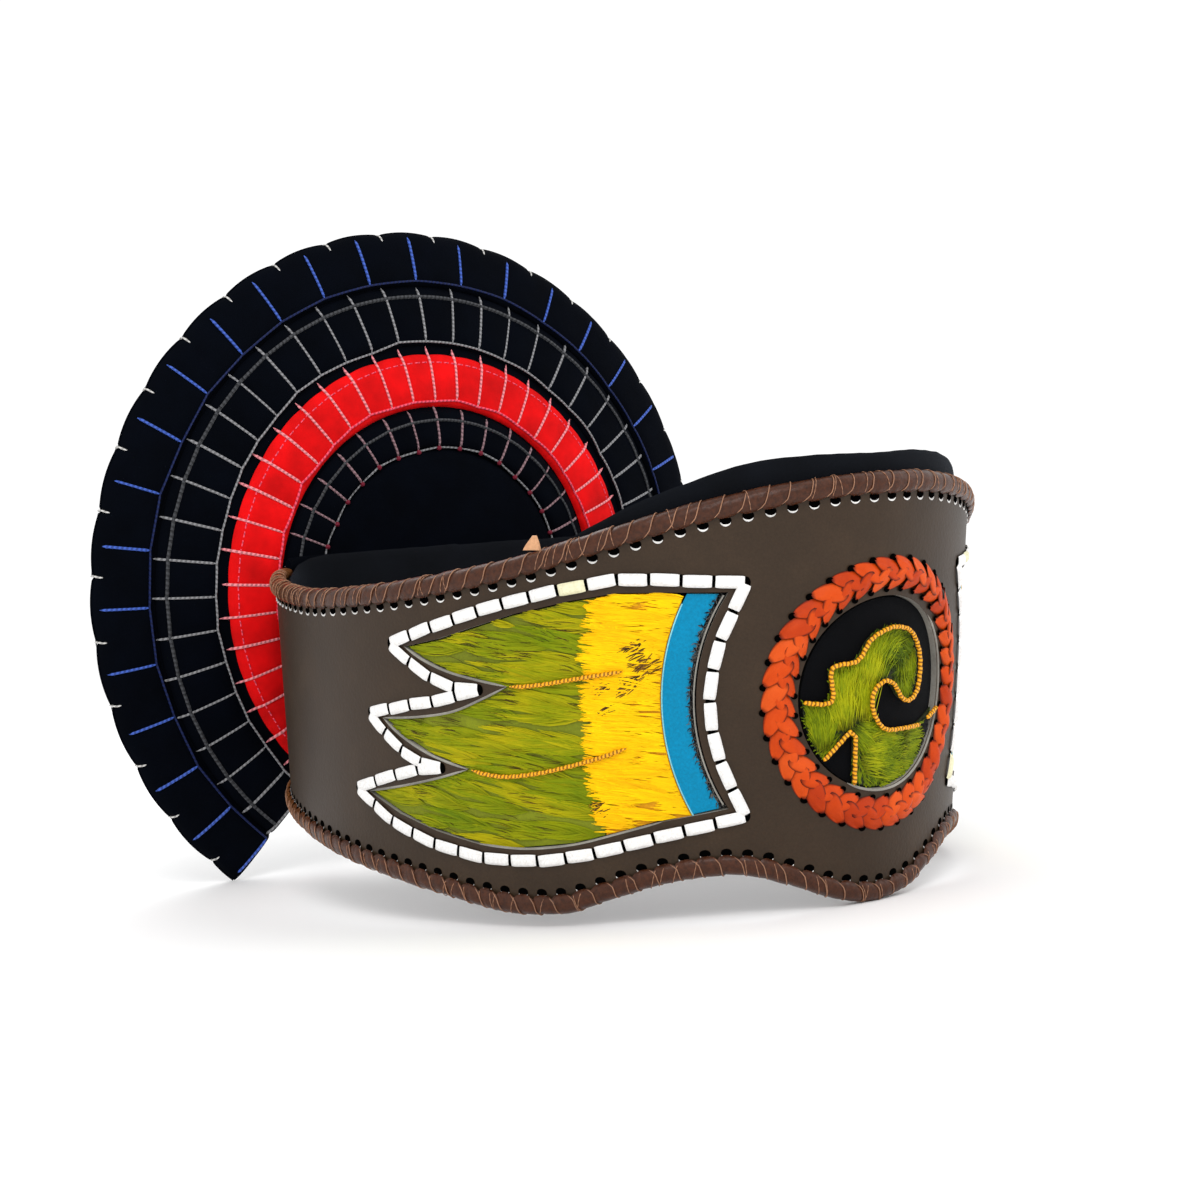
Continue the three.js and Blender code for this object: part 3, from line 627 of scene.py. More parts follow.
# its laces carry painted shade along their edges and ends
ORANGE = leaf_look("orange_lace", (0.42, 0.032, 0.001), (0.58, 0.055, 0.001), (0.66, 0.085, 0.008))
GOLD = thread_look("gold_cord", (0.85, 0.36, 0.01), 0.35, pitch=0.5, groove_shade=0.3)
GREY_THREAD = thread_look("grey_thread", (0.24, 0.24, 0.25), 0.7)
DIM_THREAD = thread_look("dim_thread", (0.045, 0.047, 0.052), 0.8)
PALE_THREAD = thread_look("pale_thread", (0.55, 0.54, 0.52), 0.7)
BLUE_THREAD = thread_look("blue_thread", (0.045, 0.105, 0.46), 0.6)
NAVY_THREAD = thread_look("navy_thread", (0.003, 0.010, 0.065), 0.6)
PINK_THREAD = thread_look("pink_thread", (0.80, 0.26, 0.29), 0.7)
ROSE_THREAD = thread_look("rose_thread", (0.27, 0.16, 0.18), 0.7)
HOT_THREAD = thread_look("hot_thread", (0.82, 0.08, 0.14), 0.7)
WINE_THREAD = thread_look("wine_thread", (0.26, 0.010, 0.035), 0.7)
TAN_THREAD = thread_look("tan_thread", (0.34, 0.17, 0.10), 0.7)
GREEN_BARBS = barb_look("green_barbs", (0.095, 0.165, 0.001), (0.185, 0.24, 0.001),
                        (0.265, 0.285, 0.001), (0.43, 0.37, 0.002), root=0.85)
GREEN_BASE = leather_look("green_ground", (0.17, 0.20, 0.002), 0.8)
YELLOW_BARBS = barb_look("yellow_barbs", (0.78, 0.30, 0.0), (0.90, 0.43, 0.0),
                         (0.94, 0.52, 0.0), (0.95, 0.62, 0.0), root=0.88)
YELLOW_BASE = leather_look("yellow_ground", (0.80, 0.36, 0.0), 0.8)
BROWN_BARBS = barb_look("brown_barbs", (0.015, 0.008, 0.003), (0.05, 0.025, 0.006), (0.2, 0.09, 0.01))
FRET_BARBS = barb_look("fret_barbs", (0.010, 0.018, 0.002), (0.060, 0.100, 0.001),
                       (0.18, 0.235, 0.001), (0.36, 0.37, 0.003), patches=0.16, root=0.35)
FRET_BASE = leather_look("fret_ground", (0.014, 0.022, 0.002), 0.8)
BLACK_BARBS = barb_look("black_barbs", (0.002, 0.002, 0.003), (0.012, 0.012, 0.014), (0.10, 0.10, 0.09))


# ---- headband ---------------------------------------------------------------------------------
def span(start, end, step):
    count = max(1, round((end - start) / step))
    return [start + (end - start) * i / count for i in range(count + 1)]


STRIP = 2.5                      # width of the straight strips that bend round the wall


def headband_leather():
    lower = [(s, between(BOTTOM_EDGE, s) - RIM_COVER + GAP) for s in span(-LEATHER_END, LEATHER_END, 3)]
    upper = [(s, between(TOP_EDGE, s) + RIM_COVER - GAP) for s in span(LEATHER_END, -LEATHER_END, -3)]
    window = arc(WINDOW_RADIUS, 0, 2 * math.pi, 96)[1:]
    wings = [mirror(wing_outline(), side) for side in (-1, 1)]
    bm = bmesh.new()
    panel(bm, [lower + upper, window] + wings, 0, LEATHER, STRIP, wall_index=1)
    piece("leather_band", bm, [BAND_LEATHER, CUT_EDGE_AND_HIGHLIGHT], "leather", "headband_leather", sharp=40)


def back_rise(s):
    """How far the lining's top climbs to the back strap's."""
    t = min(max((abs(s) - LEATHER_END + STRAP_TURN) / (2 * STRAP_TURN), 0), 1)
    t = t * t * (3 - 2 * t)
    return t * (BACK_TOP - between(TOP_EDGE, LEATHER_END) - between(LINING_RISE, LEATHER_END) - RIM_COVER)


def cushion_section(low, high, d0, d1, v):
    """A rounded upright section, v running once round it, as a height and a depth."""
    angle = 2 * math.pi * v
    c, h = math.cos(angle), math.sin(angle)
    across = math.copysign(abs(c) ** 0.5, c)
    up = math.copysign(abs(h) ** 0.75, h)
    return (low + high) / 2 + up * (high - low) / 2, (d0 + d1) / 2 + across * (d1 - d0) / 2


def headband_lining():
    d0 = LEATHER + 2 * GAP
    bm = bmesh.new()

    def place(u, v):
        s = -HALF_LOOP + 2 * HALF_LOOP * u
        low = between(BOTTOM_EDGE, s) - RIM_COVER + LINING_LOW
        high = between(TOP_EDGE, s) + RIM_COVER + between(LINING_RISE, s) + back_rise(s)
        ripple = 0.5 * noise.noise(Vector((s * 0.05, 3, 0))) + 0.25 * noise.noise(Vector((s * 0.2, 9, 0)))
        z, d = cushion_section(low, high + ripple, d0, d0 + LINING, v)
        soft = noise.noise(Vector((s * 0.09, z * 0.12, 1))) * 0.35
        return wall(s, z, max(d0, d + (soft if d > d0 + 1 else 0)))

    patch(bm, 300, 28, place, uv=lambda u, v: (u * 2 * HALF_LOOP, v * 100), close_u=True, close_v=True)
    piece("lining_pad", bm, [VELVET], "lining", "headband_lining", fill=0.4)


def dash(bm, place, thick):
    """A short stitch, sunk at both ends. place(x) gives its points as x goes from -1 to 1."""
    tube(bm, [place(x) for x in (-1, -0.4, 0.4, 1)], thick, 5, index=1)


STRAP_STITCH = 4                 # spacing of the back strap's stitches


def headband_back():
    run = HALF_LOOP - LEATHER_END - GAP
    bm = bmesh.new()

    def past_middle(t):
        """The place along the band, t from the middle of the back."""
        return HALF_LOOP + t if t <= 0 else -HALF_LOOP + t

    def place(u, v):
        s = past_middle(-run + 2 * run * u)
        low = between(BOTTOM_EDGE, s) - LINING_LOW
        return wall(s, *cushion_section(low, BACK_TOP, 0, LEATHER, v))

    patch(bm, 90, 24, place, uv=lambda u, v: (u * 2 * run, v * 100), close_v=True, fill=True)
    for z in (BACK_TOP - 3, between(BOTTOM_EDGE, 290) + 1.5):
        for k in range(int(2 * run / STRAP_STITCH)):
            s = past_middle(-run + 2 + STRAP_STITCH * k)
            dash(bm, lambda x: wall(s + 0.9 * x, z, -0.12 + 0.1 * abs(x)), 0.22)
    piece("back_strap", bm, [FAN_BLACK, GREY_THREAD], "black", "headband_back", fill=0.3)


RIM_LINE = [(-0.25, -0.5), (-1.1, 0.1), (-1.5, 1.2), (-1.45, 2.5), (-0.95, 3.7), (0.25, 4.45),
            (1.5, 4.6), (2.5, 4.15), (2.9, 3.3), (2.75, 2.4)]
TURN = 5.0                       # spacing of the lacing's holes
TURN_ROOT, TURN_WIDE = 1.5, 5.0  # width of a turn at its hole, and what it gains over the rim
CUT_SIDE = 0.94                  # how far across a turn its pale cut edge runs
DEEPEST = 2.95                   # of any turn, clear of the lining


def lacing_turn(edge, up, s0, k):
    """One turn, as place(u, v): u across the lace, v from its hole over the rim. It leans,
    overlaps the next and creases by its hole."""
    lean = 2.0 + chance.uniform(-0.4, 0.4)
    swell = 1 + chance.uniform(-0.05, 0.03)
    crease = chance.uniform(0, 40)

    def place(u, v):
        d, rise = smooth_line(RIM_LINE, v)
        wide = TURN_ROOT + TURN_WIDE * min(1, (v / 0.22) ** 0.6)
        x = (u - 0.5) * up
        s = s0 + x * wide + lean * min(1, v * 1.5)
        crown = math.sqrt(max(0, 1 - (2 * x) ** 2 * 0.95))
        lift = (crown * 0.5 + 0.25 * x - 0.42) * min(1, v * 7)
        pinch = max(0, 1 - v / 0.55)
        lift += (0.10 + 0.22 * pinch) * noise.noise(Vector((crease + x * (3 + 7 * pinch), v * 3, k)))
        s = max(-LEATHER_END, min(LEATHER_END, s))
        z = between(edge, s) + (rise * swell if v > 0.15 else rise) * up
        grow = max(-0.7, min(0.1, lift))
        out_d, out_z = d - 0.8, rise - 2.0
        size = math.hypot(out_d, out_z)
        d += grow * out_d / size * (1 if d < 2.4 else 0.2)
        z += up * grow * out_z / size * max(0, 1 - abs(d) / 3.2)
        return wall(s, z, min(d, DEEPEST))

    return place


def lacing_hole(bm, s, z):
    """A hole, as a black disc of painted shade, and a painted highlight on its lower lip."""
    spot(bm, s, z, 1.35, 1.0, -0.06, 2)
    lip = []
    for i in range(11):
        c, h = polar(1, math.radians(200 + 14 * i))
        lip.append(wall(s + 1.2 * c, z - 0.2 + 0.95 * h, -0.05))
    tube(bm, lip, 0.27, 5, index=3, taper=1.4)


def rim_lacing(name, edge, up, node):
    """A flat lace wound over an edge. up is 1 at the top edge and -1 at the bottom one."""
    bm = bmesh.new()
    count = int(2 * LEATHER_END / TURN)
    for k in range(count):
        s0 = -LEATHER_END + TURN * (k + 0.5)
        place = lacing_turn(edge, up, s0, k)
        patch(bm, 12, 18, place)
        side = CUT_SIDE if up > 0 else 1 - CUT_SIDE
        proud = wall(s0, 0, -0.16) - wall(s0, 0, 0) + Vector((0, 0, 0.0001 * up))
        tube(bm, [place(side, 0.06 + 0.88 * i / 12) + proud for i in range(13)], 0.13, 5, index=1,
             taper=1.5)
        lacing_hole(bm, s0, between(edge, s0) - up * 1.0)
    # threads that cross the turns
    for k in range(count * 2):
        s0 = -LEATHER_END + 1 + TURN * 0.5 * k + chance.uniform(-0.4, 0.4)
        if chance.random() < 0.55 or abs(s0) > LEATHER_END - 6:
            continue
        lean = chance.choice((-3.2, 2.6, 3.4)) * chance.uniform(0.6, 1.1)
        line = []
        for i in range(11):
            v = 0.12 + 0.72 * i / 10
            d, rise = smooth_line(RIM_LINE, v)
            s = s0 + lean * v
            out = 0.1 * (d < 2)
            line.append(wall(s, between(edge, s) + up * (rise + out), d - out))
        tube(bm, line, 0.09, 4, index=4)
    looks = [RIM_LACE, LACE_EDGE, HOLE_SHADE, LIP_HIGHLIGHT, TAN_THREAD]
    piece(name, bm, looks, "lacing", node, recalc=False)


LACE_END_S = -84.5


def lace_end():
    bm = bmesh.new()

    def place(u, v):
        s = LACE_END_S + (u - 0.5) * 4.4 * (1 - 0.75 * v ** 1.3)
        z = between(TOP_EDGE, LACE_END_S) + RIM_TOP + GAP + 3.4 * v
        return wall(s + 0.5 * v, z, 1.2 + 0.5 * v + 0.25 * math.cos(math.pi * (u - 0.5)))

    patch(bm, 8, 8, place)
    bmesh.ops.recalc_face_normals(bm, faces=bm.faces)
    bmesh.ops.solidify(bm, geom=bm.faces[:], thickness=0.0007)
    piece("lace_tip", bm, [TAN], "tan", "lace_end")


# ---- down -------------------------------------------------------------------------------------
def barb(down, start, angle, length, width, index, bend=0.0, depth=0.7, rise=0.25, limit=None,
         shade=None):
    """Notes one blade of down that lies on the wall, cut short where the limit ends it."""
    shade = chance.random() if shade is None else min(1, max(0, shade + chance.gauss(0, 0.09)))
    if limit and not limit(*start):
        return
    for _ in range(4):
        run_s, run_z = polar(length, angle + bend)
        if not limit or limit(start[0] + run_s, start[1] + run_z):
            break
        length *= 0.7
    down.append((start, angle, length, width, index, bend, depth, rise, shade))


BLADE_ROWS = 3


def blades(bm, down):
    """All the noted blades from one grid, whose columns stand in pairs, one pair a blade."""
    layer = bm.loops.layers.uv.verify()
    columns = 2 * len(down) - 1
    grid = bmesh.ops.create_grid(bm, x_segments=columns, y_segments=BLADE_ROWS, size=0.5)["verts"]
    at = {v: (round((v.co.x + 0.5) * columns), round((v.co.y + 0.5) * BLADE_ROWS)) for v in grid}
    between_blades = []
    for f in faces_round(grid):
        left = min(at[v][0] for v in f.verts)
        if left % 2:
            between_blades.append(f)
            continue
        *_, index, _, _, _, shade = down[left // 2]
        f.material_index = index
        f.smooth = True
        for loop in f.loops:
            loop[layer].uv = (shade, at[loop.vert][1] / BLADE_ROWS)
    bmesh.ops.delete(bm, geom=between_blades, context="FACES")
    for v, (column, row) in at.items():
        (s, z), angle, length, width, _, bend, depth, rise, _ = down[column // 2]
        t = row / BLADE_ROWS
        way = angle + bend * t
        half = width * (0.25 + 0.75 * math.sin(math.pi * min(0.98, 0.15 + 0.8 * t)))
        half *= 0.5 - column % 2
        run, off = polar(length * t, way), polar(half, way)
        v.co = wall(s + run[0] - off[1], z + run[1] + off[0], depth - rise * t)


# ---- medallion --------------------------------------------------------------------------------
def fret_outline():
    rim = WINDOW_RADIUS - 2 * GAP
    ends = [math.atan2(z, s) for s, z in (FRET_UPPER[-1], FRET_LOWER[-1], FRET_LOWER[0], FRET_UPPER[0])]
    right = arc(rim, ends[0], ends[1], 24)
    left = arc(rim, ends[2], ends[3], 6)
    upper = [tuple(p) for p in smooth_path(FRET_UPPER, 1.5)][1:-1]
    return [on_medallion(*p) for p in upper + right + FRET_LOWER[1:-1][::-1] + left]


# the fret's locks of down: where each starts, its width, its direction and spread in degrees,
# its length, how many barbs it has, and its shade from 0, dark, to 1
LOCKS = [
    (16, -12, 5, -30, 25, 5, 90, 0.05), (8, -17, 5, -10, 22, 6, 150, 0.45),
    (9, -11, 5, -8, 22, 7, 190, 0.55), (0, -17, 4, -4, 16, 8, 170, 0.5),
    (-5, -14, 3.5, -6, 14, 8, 170, 0.7), (-2, -10.5, 3, -22, 16, 8, 150, 0.6),
    (6, 3, 3, -68, 18, 6, 110, 0.35), (9, 8, 3, -82, 16, 6, 130, 0.5),
    (5, 11, 3, -55, 26, 5, 150, 0.12), (1, 12, 3, 10, 30, 5, 120, 0.4),
    (-3, 8, 3, 62, 14, 8, 170, 0.65), (-6, 3, 3, 74, 12, 9, 200, 0.8),
    (-3, 2, 2.5, 80, 12, 8, 150, 0.7), (-12, 0, 3, 88, 14, 8, 170, 0.6),
    (-5, -5, 2.5, 82, 14, 9, 180, 0.75), (-8, -8, 2.5, -42, 26, 7, 150, 0.4),
    (-18, -6, 2.5, 105, 22, 6, 130, 0.5), (-17.5, -11, 2.2, 92, 24, 8, 190, 0.55),
    (-11.5, -6.5, 2.0, 98, 18, 9, 220, 0.85),
]


GROUND_BARBS = 1500              # short dark ones under the locks
BLACK_FROM = 12                  # down further to the wearer's left than this is black


def medallion_felt():
    bm = bmesh.new()
    disc = [on_medallion(*p) for p in arc(WINDOW_RADIUS - GAP, 0, 2 * math.pi, 64)[1:]]
    panel(bm, [disc], LEATHER - FELT, LEATHER + 0.2, STRIP)
    piece("medallion_felt", bm, [FELT_LOOK], "felt", "medallion_backing")


def medallion_down():
    bm = bmesh.new()
    outline = fret_outline()
    panel(bm, [outline], FRET_FACE + 0.45, LEATHER - FELT - 0.05, STRIP, index=2)

    def fits(s, z):
        return inside(outline, s, z)

    down = []
    made = 0
    while made < GROUND_BARBS:
        s, z = chance.uniform(-22, 22), chance.uniform(-22, 16)
        if not fits(s, z):
            continue
        made += 1
        angle = math.atan2(z + 7, s + 8) + chance.gauss(0, 0.25)
        barb(down, (s, z), angle, chance.uniform(3, 5), chance.uniform(0.2, 0.4),
             int(s > BLACK_FROM and z < -9), chance.uniform(-0.3, 0.3), 0.9, 0.1, fits, 0.3)
    for s0, z0, wide, degrees, spread, length, count, shade in LOCKS:
        way = math.radians(degrees)
        for _ in range(count):
            off = chance.gauss(0, 0.5)
            start = (s0 - wide * off * math.sin(way) + chance.gauss(0, 0.8),
                     z0 + wide * off * math.cos(way) + chance.gauss(0, 0.8))
            angle = way + math.radians(spread) * off + chance.gauss(0, 0.06)
            barb(down, on_medallion(*start), angle, length * chance.uniform(0.6, 1.1),
                 chance.uniform(0.14, 0.34), int(s0 > BLACK_FROM), chance.uniform(-0.15, 0.25),
                 chance.uniform(0.45, 0.8), chance.uniform(0.05, 0.3), fits, shade)
    blades(bm, down)
    piece("medallion_down", bm, [FRET_BARBS, BLACK_BARBS, FRET_BASE], "green", "medallion_feathers",
          recalc=False)


CORD_STEP = 0.25
COVERED = (13, 16.3)             # where the upper cord passes under the down


def gold_cord(bm, path, width, taper):
    """A cord of three strands, laid in the window along a path on the wall."""
    tube(bm, path, CORD_RADIUS * width, 12, taper=taper, shape=twist(3, 2.4, 0.32))


def medallion_cords():
    lower = [tuple(p) for i in range(3) for p in smooth_path(FRET_LOWER[i:i + 2], CORD_STEP)[i > 0:]]
    upper = smooth_path(FRET_UPPER, CORD_STEP)
    for name, path in (("upper", upper), ("lower", lower)):
        bm = bmesh.new()
        runs = [[]]
        for s, z in path:
            if name == "upper" and COVERED[0] < s < COVERED[1] and z < -6:
                runs.append([])
            else:
                runs[-1].append(wall(*on_medallion(s, z), FRET_FACE - GAP - CORD_RADIUS))
        for run in runs:
            if len(run) >= 3:
                gold_cord(bm, run, 0.82, 0.6)
        piece("gold_medallion_cord_" + name, bm, [GOLD], "gold", "medallion_cord_" + name)


def medallion_edge_highlight():
    """The window's pale cut edge, drawn only on the arc where it catches the light: its own paler colour,
    and a painted highlight there.
    """
    bm = bmesh.new()
    edge = arc(WINDOW_RADIUS + 0.1, math.radians(-118), math.radians(48), 60)
    tube(bm, [wall(*on_medallion(*p), 0.05) for p in edge], 0.34, 6, taper=3)
    piece("medallion_edge_highlight", bm, [CUT_EDGE_AND_HIGHLIGHT], "leather")


LEAVES = 34
BRAID_LOW, BRAID_HIGH = 0.12, 2.2


def braid():
    """Two rows of flat laces that cross along the middle of the ring and dive in the holes."""
    bm = bmesh.new()
    middle = (BRAID_INNER + BRAID_OUTER) / 2
    step = 2 * math.pi / LEAVES

    def leaf(r0, r1, a0, a1, wide, high, lean):
        jitter = chance.uniform(-0.12, 0.12)
        crease = chance.uniform(0, 50)
        shade = chance.randrange(LEAF_SHADES)
        away = math.atan2((a1 - a0) * middle, r1 - r0)

        def place(u, v):
            x = 0.5 - u
            half = wide * math.sin(math.pi * (0.12 + 0.86 * v ** 0.8)) ** 0.6
            r = r0 + (r1 - r0) * v ** 1.15 - math.sin(away) * x * half
            angle = a0 + (a1 - a0) * v + math.cos(away) * x * half / middle
            crown = math.sqrt(max(0, 1 - (2 * x) ** 2 * 0.97))
            lift = 0.15 + high * math.sin(math.pi * (0.24 + 0.72 * v)) ** 0.8 * (0.3 + 0.7 * crown)
            lift += lean * x + jitter + 0.22 * noise.noise(Vector((crease + x * 8, v * 2, 0)))
            return wall(*on_medallion(*polar(r, angle)), -max(BRAID_LOW, min(BRAID_HIGH, lift)))

        patch(bm, 8, 12, place, uv=lambda u, v: (shade + 0.02 + 0.96 * u, v))

    for k in range(LEAVES):
        a = k * step
        leaf(middle - 0.6, BRAID_OUTER, a, a + 1.35 * step, 4.7, 1.5, 1.6)
        leaf(middle + 0.5, BRAID_INNER + 0.1, a + 0.5 * step, a + 1.75 * step, 4.2, 1.55, -1.5)
        for r, turn, size in ((BRAID_OUTER - 0.1, 1.42, 1.05), (BRAID_INNER, 1.75, 0.85)):
            # black discs of painted shade for the holes the laces dive into
            spot(bm, *on_medallion(*polar(r, a + turn * step)), size, size * 0.85, -0.3, 1)

    def ground(u, v):
        """The dark ring under the leaves, painted shade that shows in the gaps between them."""
        c, h = polar(1, 2 * math.pi * v)
        r = middle + (BRAID_OUTER - BRAID_INNER - 1.4) / 2 * c
        return wall(*on_medallion(*polar(r, 2 * math.pi * u)), -0.25 - 0.25 * h)

    patch(bm, 120, 8, ground, index=2, close_u=True, close_v=True)
    piece("braid_ring", bm, [ORANGE, HOLE_SHADE, RIM_LACE], "orange", "medallion_braid", recalc=False)


# ---- wings ------------------------------------------------------------------------------------
Field = namedtuple("Field", "rows step wide barbs ways thin spread tones depth looks")

# rows are (feather roots by s, length), from the tips forward. step is how far apart the roots
# of a row stand, and ways how far its feathers turn up.
FIELDS = {
    "green": Field([(126, 13), (119, 13), (112, 14), (104, 14), (96, 14), (88, 14), (80, 14),
                    (73, 15), (67, 16), (62, 14)], 7.5, 11, 105, (-0.05, 0.22), 0.2, 0.42,
                   (0.1, 0.95), 0.8, [GREEN_BARBS, GREEN_BASE, BROWN_BARBS]),
    "yellow": Field([(60, 11), (56, 12), (52, 11), (48, 11)], 6, 9, 90, (-0.02, 0.16), 0.24, 0.3,
                    (0.45, 0.8), 0.65, [YELLOW_BARBS, YELLOW_BASE, BROWN_BARBS]),
}
BLUE_BACK = BLUE_OUTER + GAP
YELLOW_TOP, YELLOW_LOW = 23.1, -27.9     # where the blue strip's back meets the window's edges
ROOTS_LOW, ROOTS_HIGH = -40, 27  # heights between which feathers are rooted
BLUE_BARBS, TORN_BARBS = 520, 950        # along the blue strip, and at the yellow's torn edge
SHADOWS, SHADOW_BARBS = 42, 7    # groups of loose dark barbs, and the barbs in one
DARK_STRIP_BARBS = 700
DARK = 2                         # the look of the dark barbs among the others


def feather(down, root, length, field, side, limit):
    """A short down feather pointing to the back: barbs that leave its shaft and curve along it."""
    way = chance.uniform(*field.ways)
    tone = chance.uniform(*field.tones)
    for i in range(field.barbs):
        t = (i + chance.random()) / field.barbs
        hand = chance.choice((-1, 1))
        run, rise = polar(length * t * 0.8, way)
        away = hand * field.spread * (1 - 0.6 * t) + chance.gauss(0, 0.04)
        reach = field.wide * 0.5 / max(0.3, abs(math.sin(away)))
        reach *= (1 - 0.35 * t) * chance.uniform(0.75, 1.05)
        barb(down, (root[0] + side * run, root[1] + rise), turned(way + away, side),
             min(reach, length * 0.9), field.thin * chance.uniform(0.7, 1.4), 0, -0.6 * away * side,
             field.depth - chance.uniform(0, 0.25), chance.uniform(0.05, 0.25), limit, tone)


def ragged(z):
    """How far back of its plain line the yellow's torn edge lies at a height."""
    return (between(YELLOW_WAVE, z) + 2.2 * noise.noise(Vector((z * 0.22, 4, 0)))
            + 1.6 * noise.noise(Vector((z * 0.9, 8, 0))))


def fringe(down, side, limit):
    """Yellow barbs along the blue strip, and those whose ends lie over the green."""
    for _ in range(BLUE_BARBS):
        s, z = polar(BLUE_BACK + 0.15, chance.uniform(-0.56, 0.46))
        barb(down, (side * s, z), turned(chance.gauss(0.06, 0.09), side), chance.uniform(5, 9),
             chance.uniform(0.2, 0.36), 0, 0.0, 0.5, 0.05, limit, 0.6)
    for _ in range(TORN_BARBS):
        z = chance.uniform(-35, 24)
        s = chance.uniform(59, 66.5)
        end = YELLOW_BACK + chance.uniform(-1.0, 3.4) + ragged(z)
        barb(down, (side * s, z), turned(chance.gauss(0.07, 0.11), side), end - s,
             chance.uniform(0.2, 0.36), 0, 0.0, 0.42, 0.02, limit, chance.choice((0.35, 0.55, 0.8)))


def shadow_lines(down, side, limit):
    """Loose dark barbs in small groups over the green: painted shadow lines."""
    for _ in range(SHADOWS):
        s, z = chance.uniform(72, 122), chance.uniform(-34, 22)
        away = chance.uniform(0.0, 0.5)
        for _ in range(SHADOW_BARBS):
            start = (side * (s + chance.gauss(0, 1.4)), z + chance.gauss(0, 1.6))
            barb(down, start, turned(away + chance.gauss(0, 0.06), side), chance.uniform(3, 6),
                 chance.uniform(0.08, 0.16), DARK, -0.5 * away * side, 0.48, 0.02, limit, 0.2)


# two loose clusters of dark barbs and a few strays: where, how wide, how many
SPECKLES = [(60, 13, 1.6, 30), (57, 9, 1.8, 34), (60, 5, 1.4, 16), (67, 3.5, 1.0, 12),
            (62, 3, 1.3, 12), (66, -1.5, 0.9, 7), (69, -25, 1.6, 12)]


def speckle(down, side, limit):
    """Dark barbs among the yellow."""
    for s, z, wide, count in SPECKLES:
        for _ in range(count):
            start = (side * (s + chance.gauss(0, wide)), z + chance.gauss(0, wide * 0.5))
            barb(down, start, turned(chance.gauss(-0.4, 0.15), side), chance.uniform(1.5, 3.8),
                 chance.uniform(0.16, 0.34), DARK, 0.1, 0.36, 0.02, limit)


def field_outline(name, side):
    """The part of the window that one field fills."""
    loop = offset_loop(wing_outline(), -GAP)
    green = name == "green"
    cut = YELLOW_BACK + GAP if green else YELLOW_BACK
    out = []
    for a, b in zip(loop, loop[1:] + loop[:1]):
        a_in, b_in = (a[0] > cut) == green, (b[0] > cut) == green
        if a_in:
            out.append(a)
        if a_in != b_in:
            out.append((cut, a[1] + (b[1] - a[1]) * (cut - a[0]) / (b[0] - a[0])))
    if not green:
        front = arc(BLUE_BACK, math.asin(YELLOW_LOW / BLUE_BACK), math.asin(YELLOW_TOP / BLUE_BACK), 16)
        behind = [p for p in out if math.hypot(*p) > BLUE_BACK]
        upper = [p for p in behind if p[1] > 0 and p[0] > front[-1][0] + 0.5]
        lower = [p for p in behind if p[1] <= 0 and p[0] > front[0][0] + 0.5]
        out = front + sorted(upper) + sorted(lower, reverse=True)
    return mirror(out, side)


def wing_field(name, side, word):
    """A field of down in rows that overlap like tiles, laid from the tips forward."""
    field = FIELDS[name]
    outline = mirror(offset_loop(wing_outline(), -GAP), side)

    def limit(s, z):
        if name == "green":
            own = abs(s) >= YELLOW_BACK + between(YELLOW_WAVE, z) - 3
        else:
            own = math.hypot(s, z) >= BLUE_BACK and abs(s) <= YELLOW_BACK + 3.4 + ragged(z)
        return own and inside(outline, s, z)

    bm = bmesh.new()
    panel(bm, [field_outline(name, side)], INLAY_FACE, LEATHER, STRIP, index=1)
    down = []
    for row, (front, length) in enumerate(field.rows):
        z = ROOTS_LOW + (row % 2) * 4.5
        while z < ROOTS_HIGH:
            root = (side * (front + chance.uniform(-1.5, 1.5)), z + chance.uniform(-1, 1))
            feather(down, root, length, field, side, limit)
            z += field.step
    if name == "green":
        shadow_lines(down, side, limit)
    else:
        fringe(down, side, limit)
        speckle(down, side, limit)
    blades(bm, down)
    piece(f"down_{name}_{word}", bm, field.looks, name, f"wing_{name}_{word}", recalc=False)


def window_end(loop, radius, way):
    """The angle at which a circle enters the window, from above where way is 1 and from below
    where it is -1."""
    turns = (way * (1.2 - 0.004 * i) for i in range(400))
    return next(t for t in turns if inside(loop, *polar(radius, t)))


def strip(loop, inner, outer):
    """The strip of the window between two radii."""
    (low_in, top_in), (low_out, top_out) = (
        [window_end(loop, radius, way) for way in (-1, 1)] for radius in (inner, outer))
    return arc(inner, low_in, top_in, 20) + arc(outer, top_out, low_out, 20)


def blue_strip(loop, word, side):
    bm = bmesh.new()
    panel(bm, [mirror(strip(loop, BLUE_INNER, BLUE_OUTER), side)], INLAY_FACE - 0.25, LEATHER, 2,
          wall_index=1)
    line = [wall(side * r, z, INLAY_FACE - 0.22) for r, z in arc(BLUE_OUTER, -0.52, 0.43, 40)]
    tube(bm, line, 0.2, 5, index=1)
    piece(f"blue_{word}", bm, [BLUE, BLUE_EDGE], "blue", f"wing_blue_strip_{word}", sharp=40)


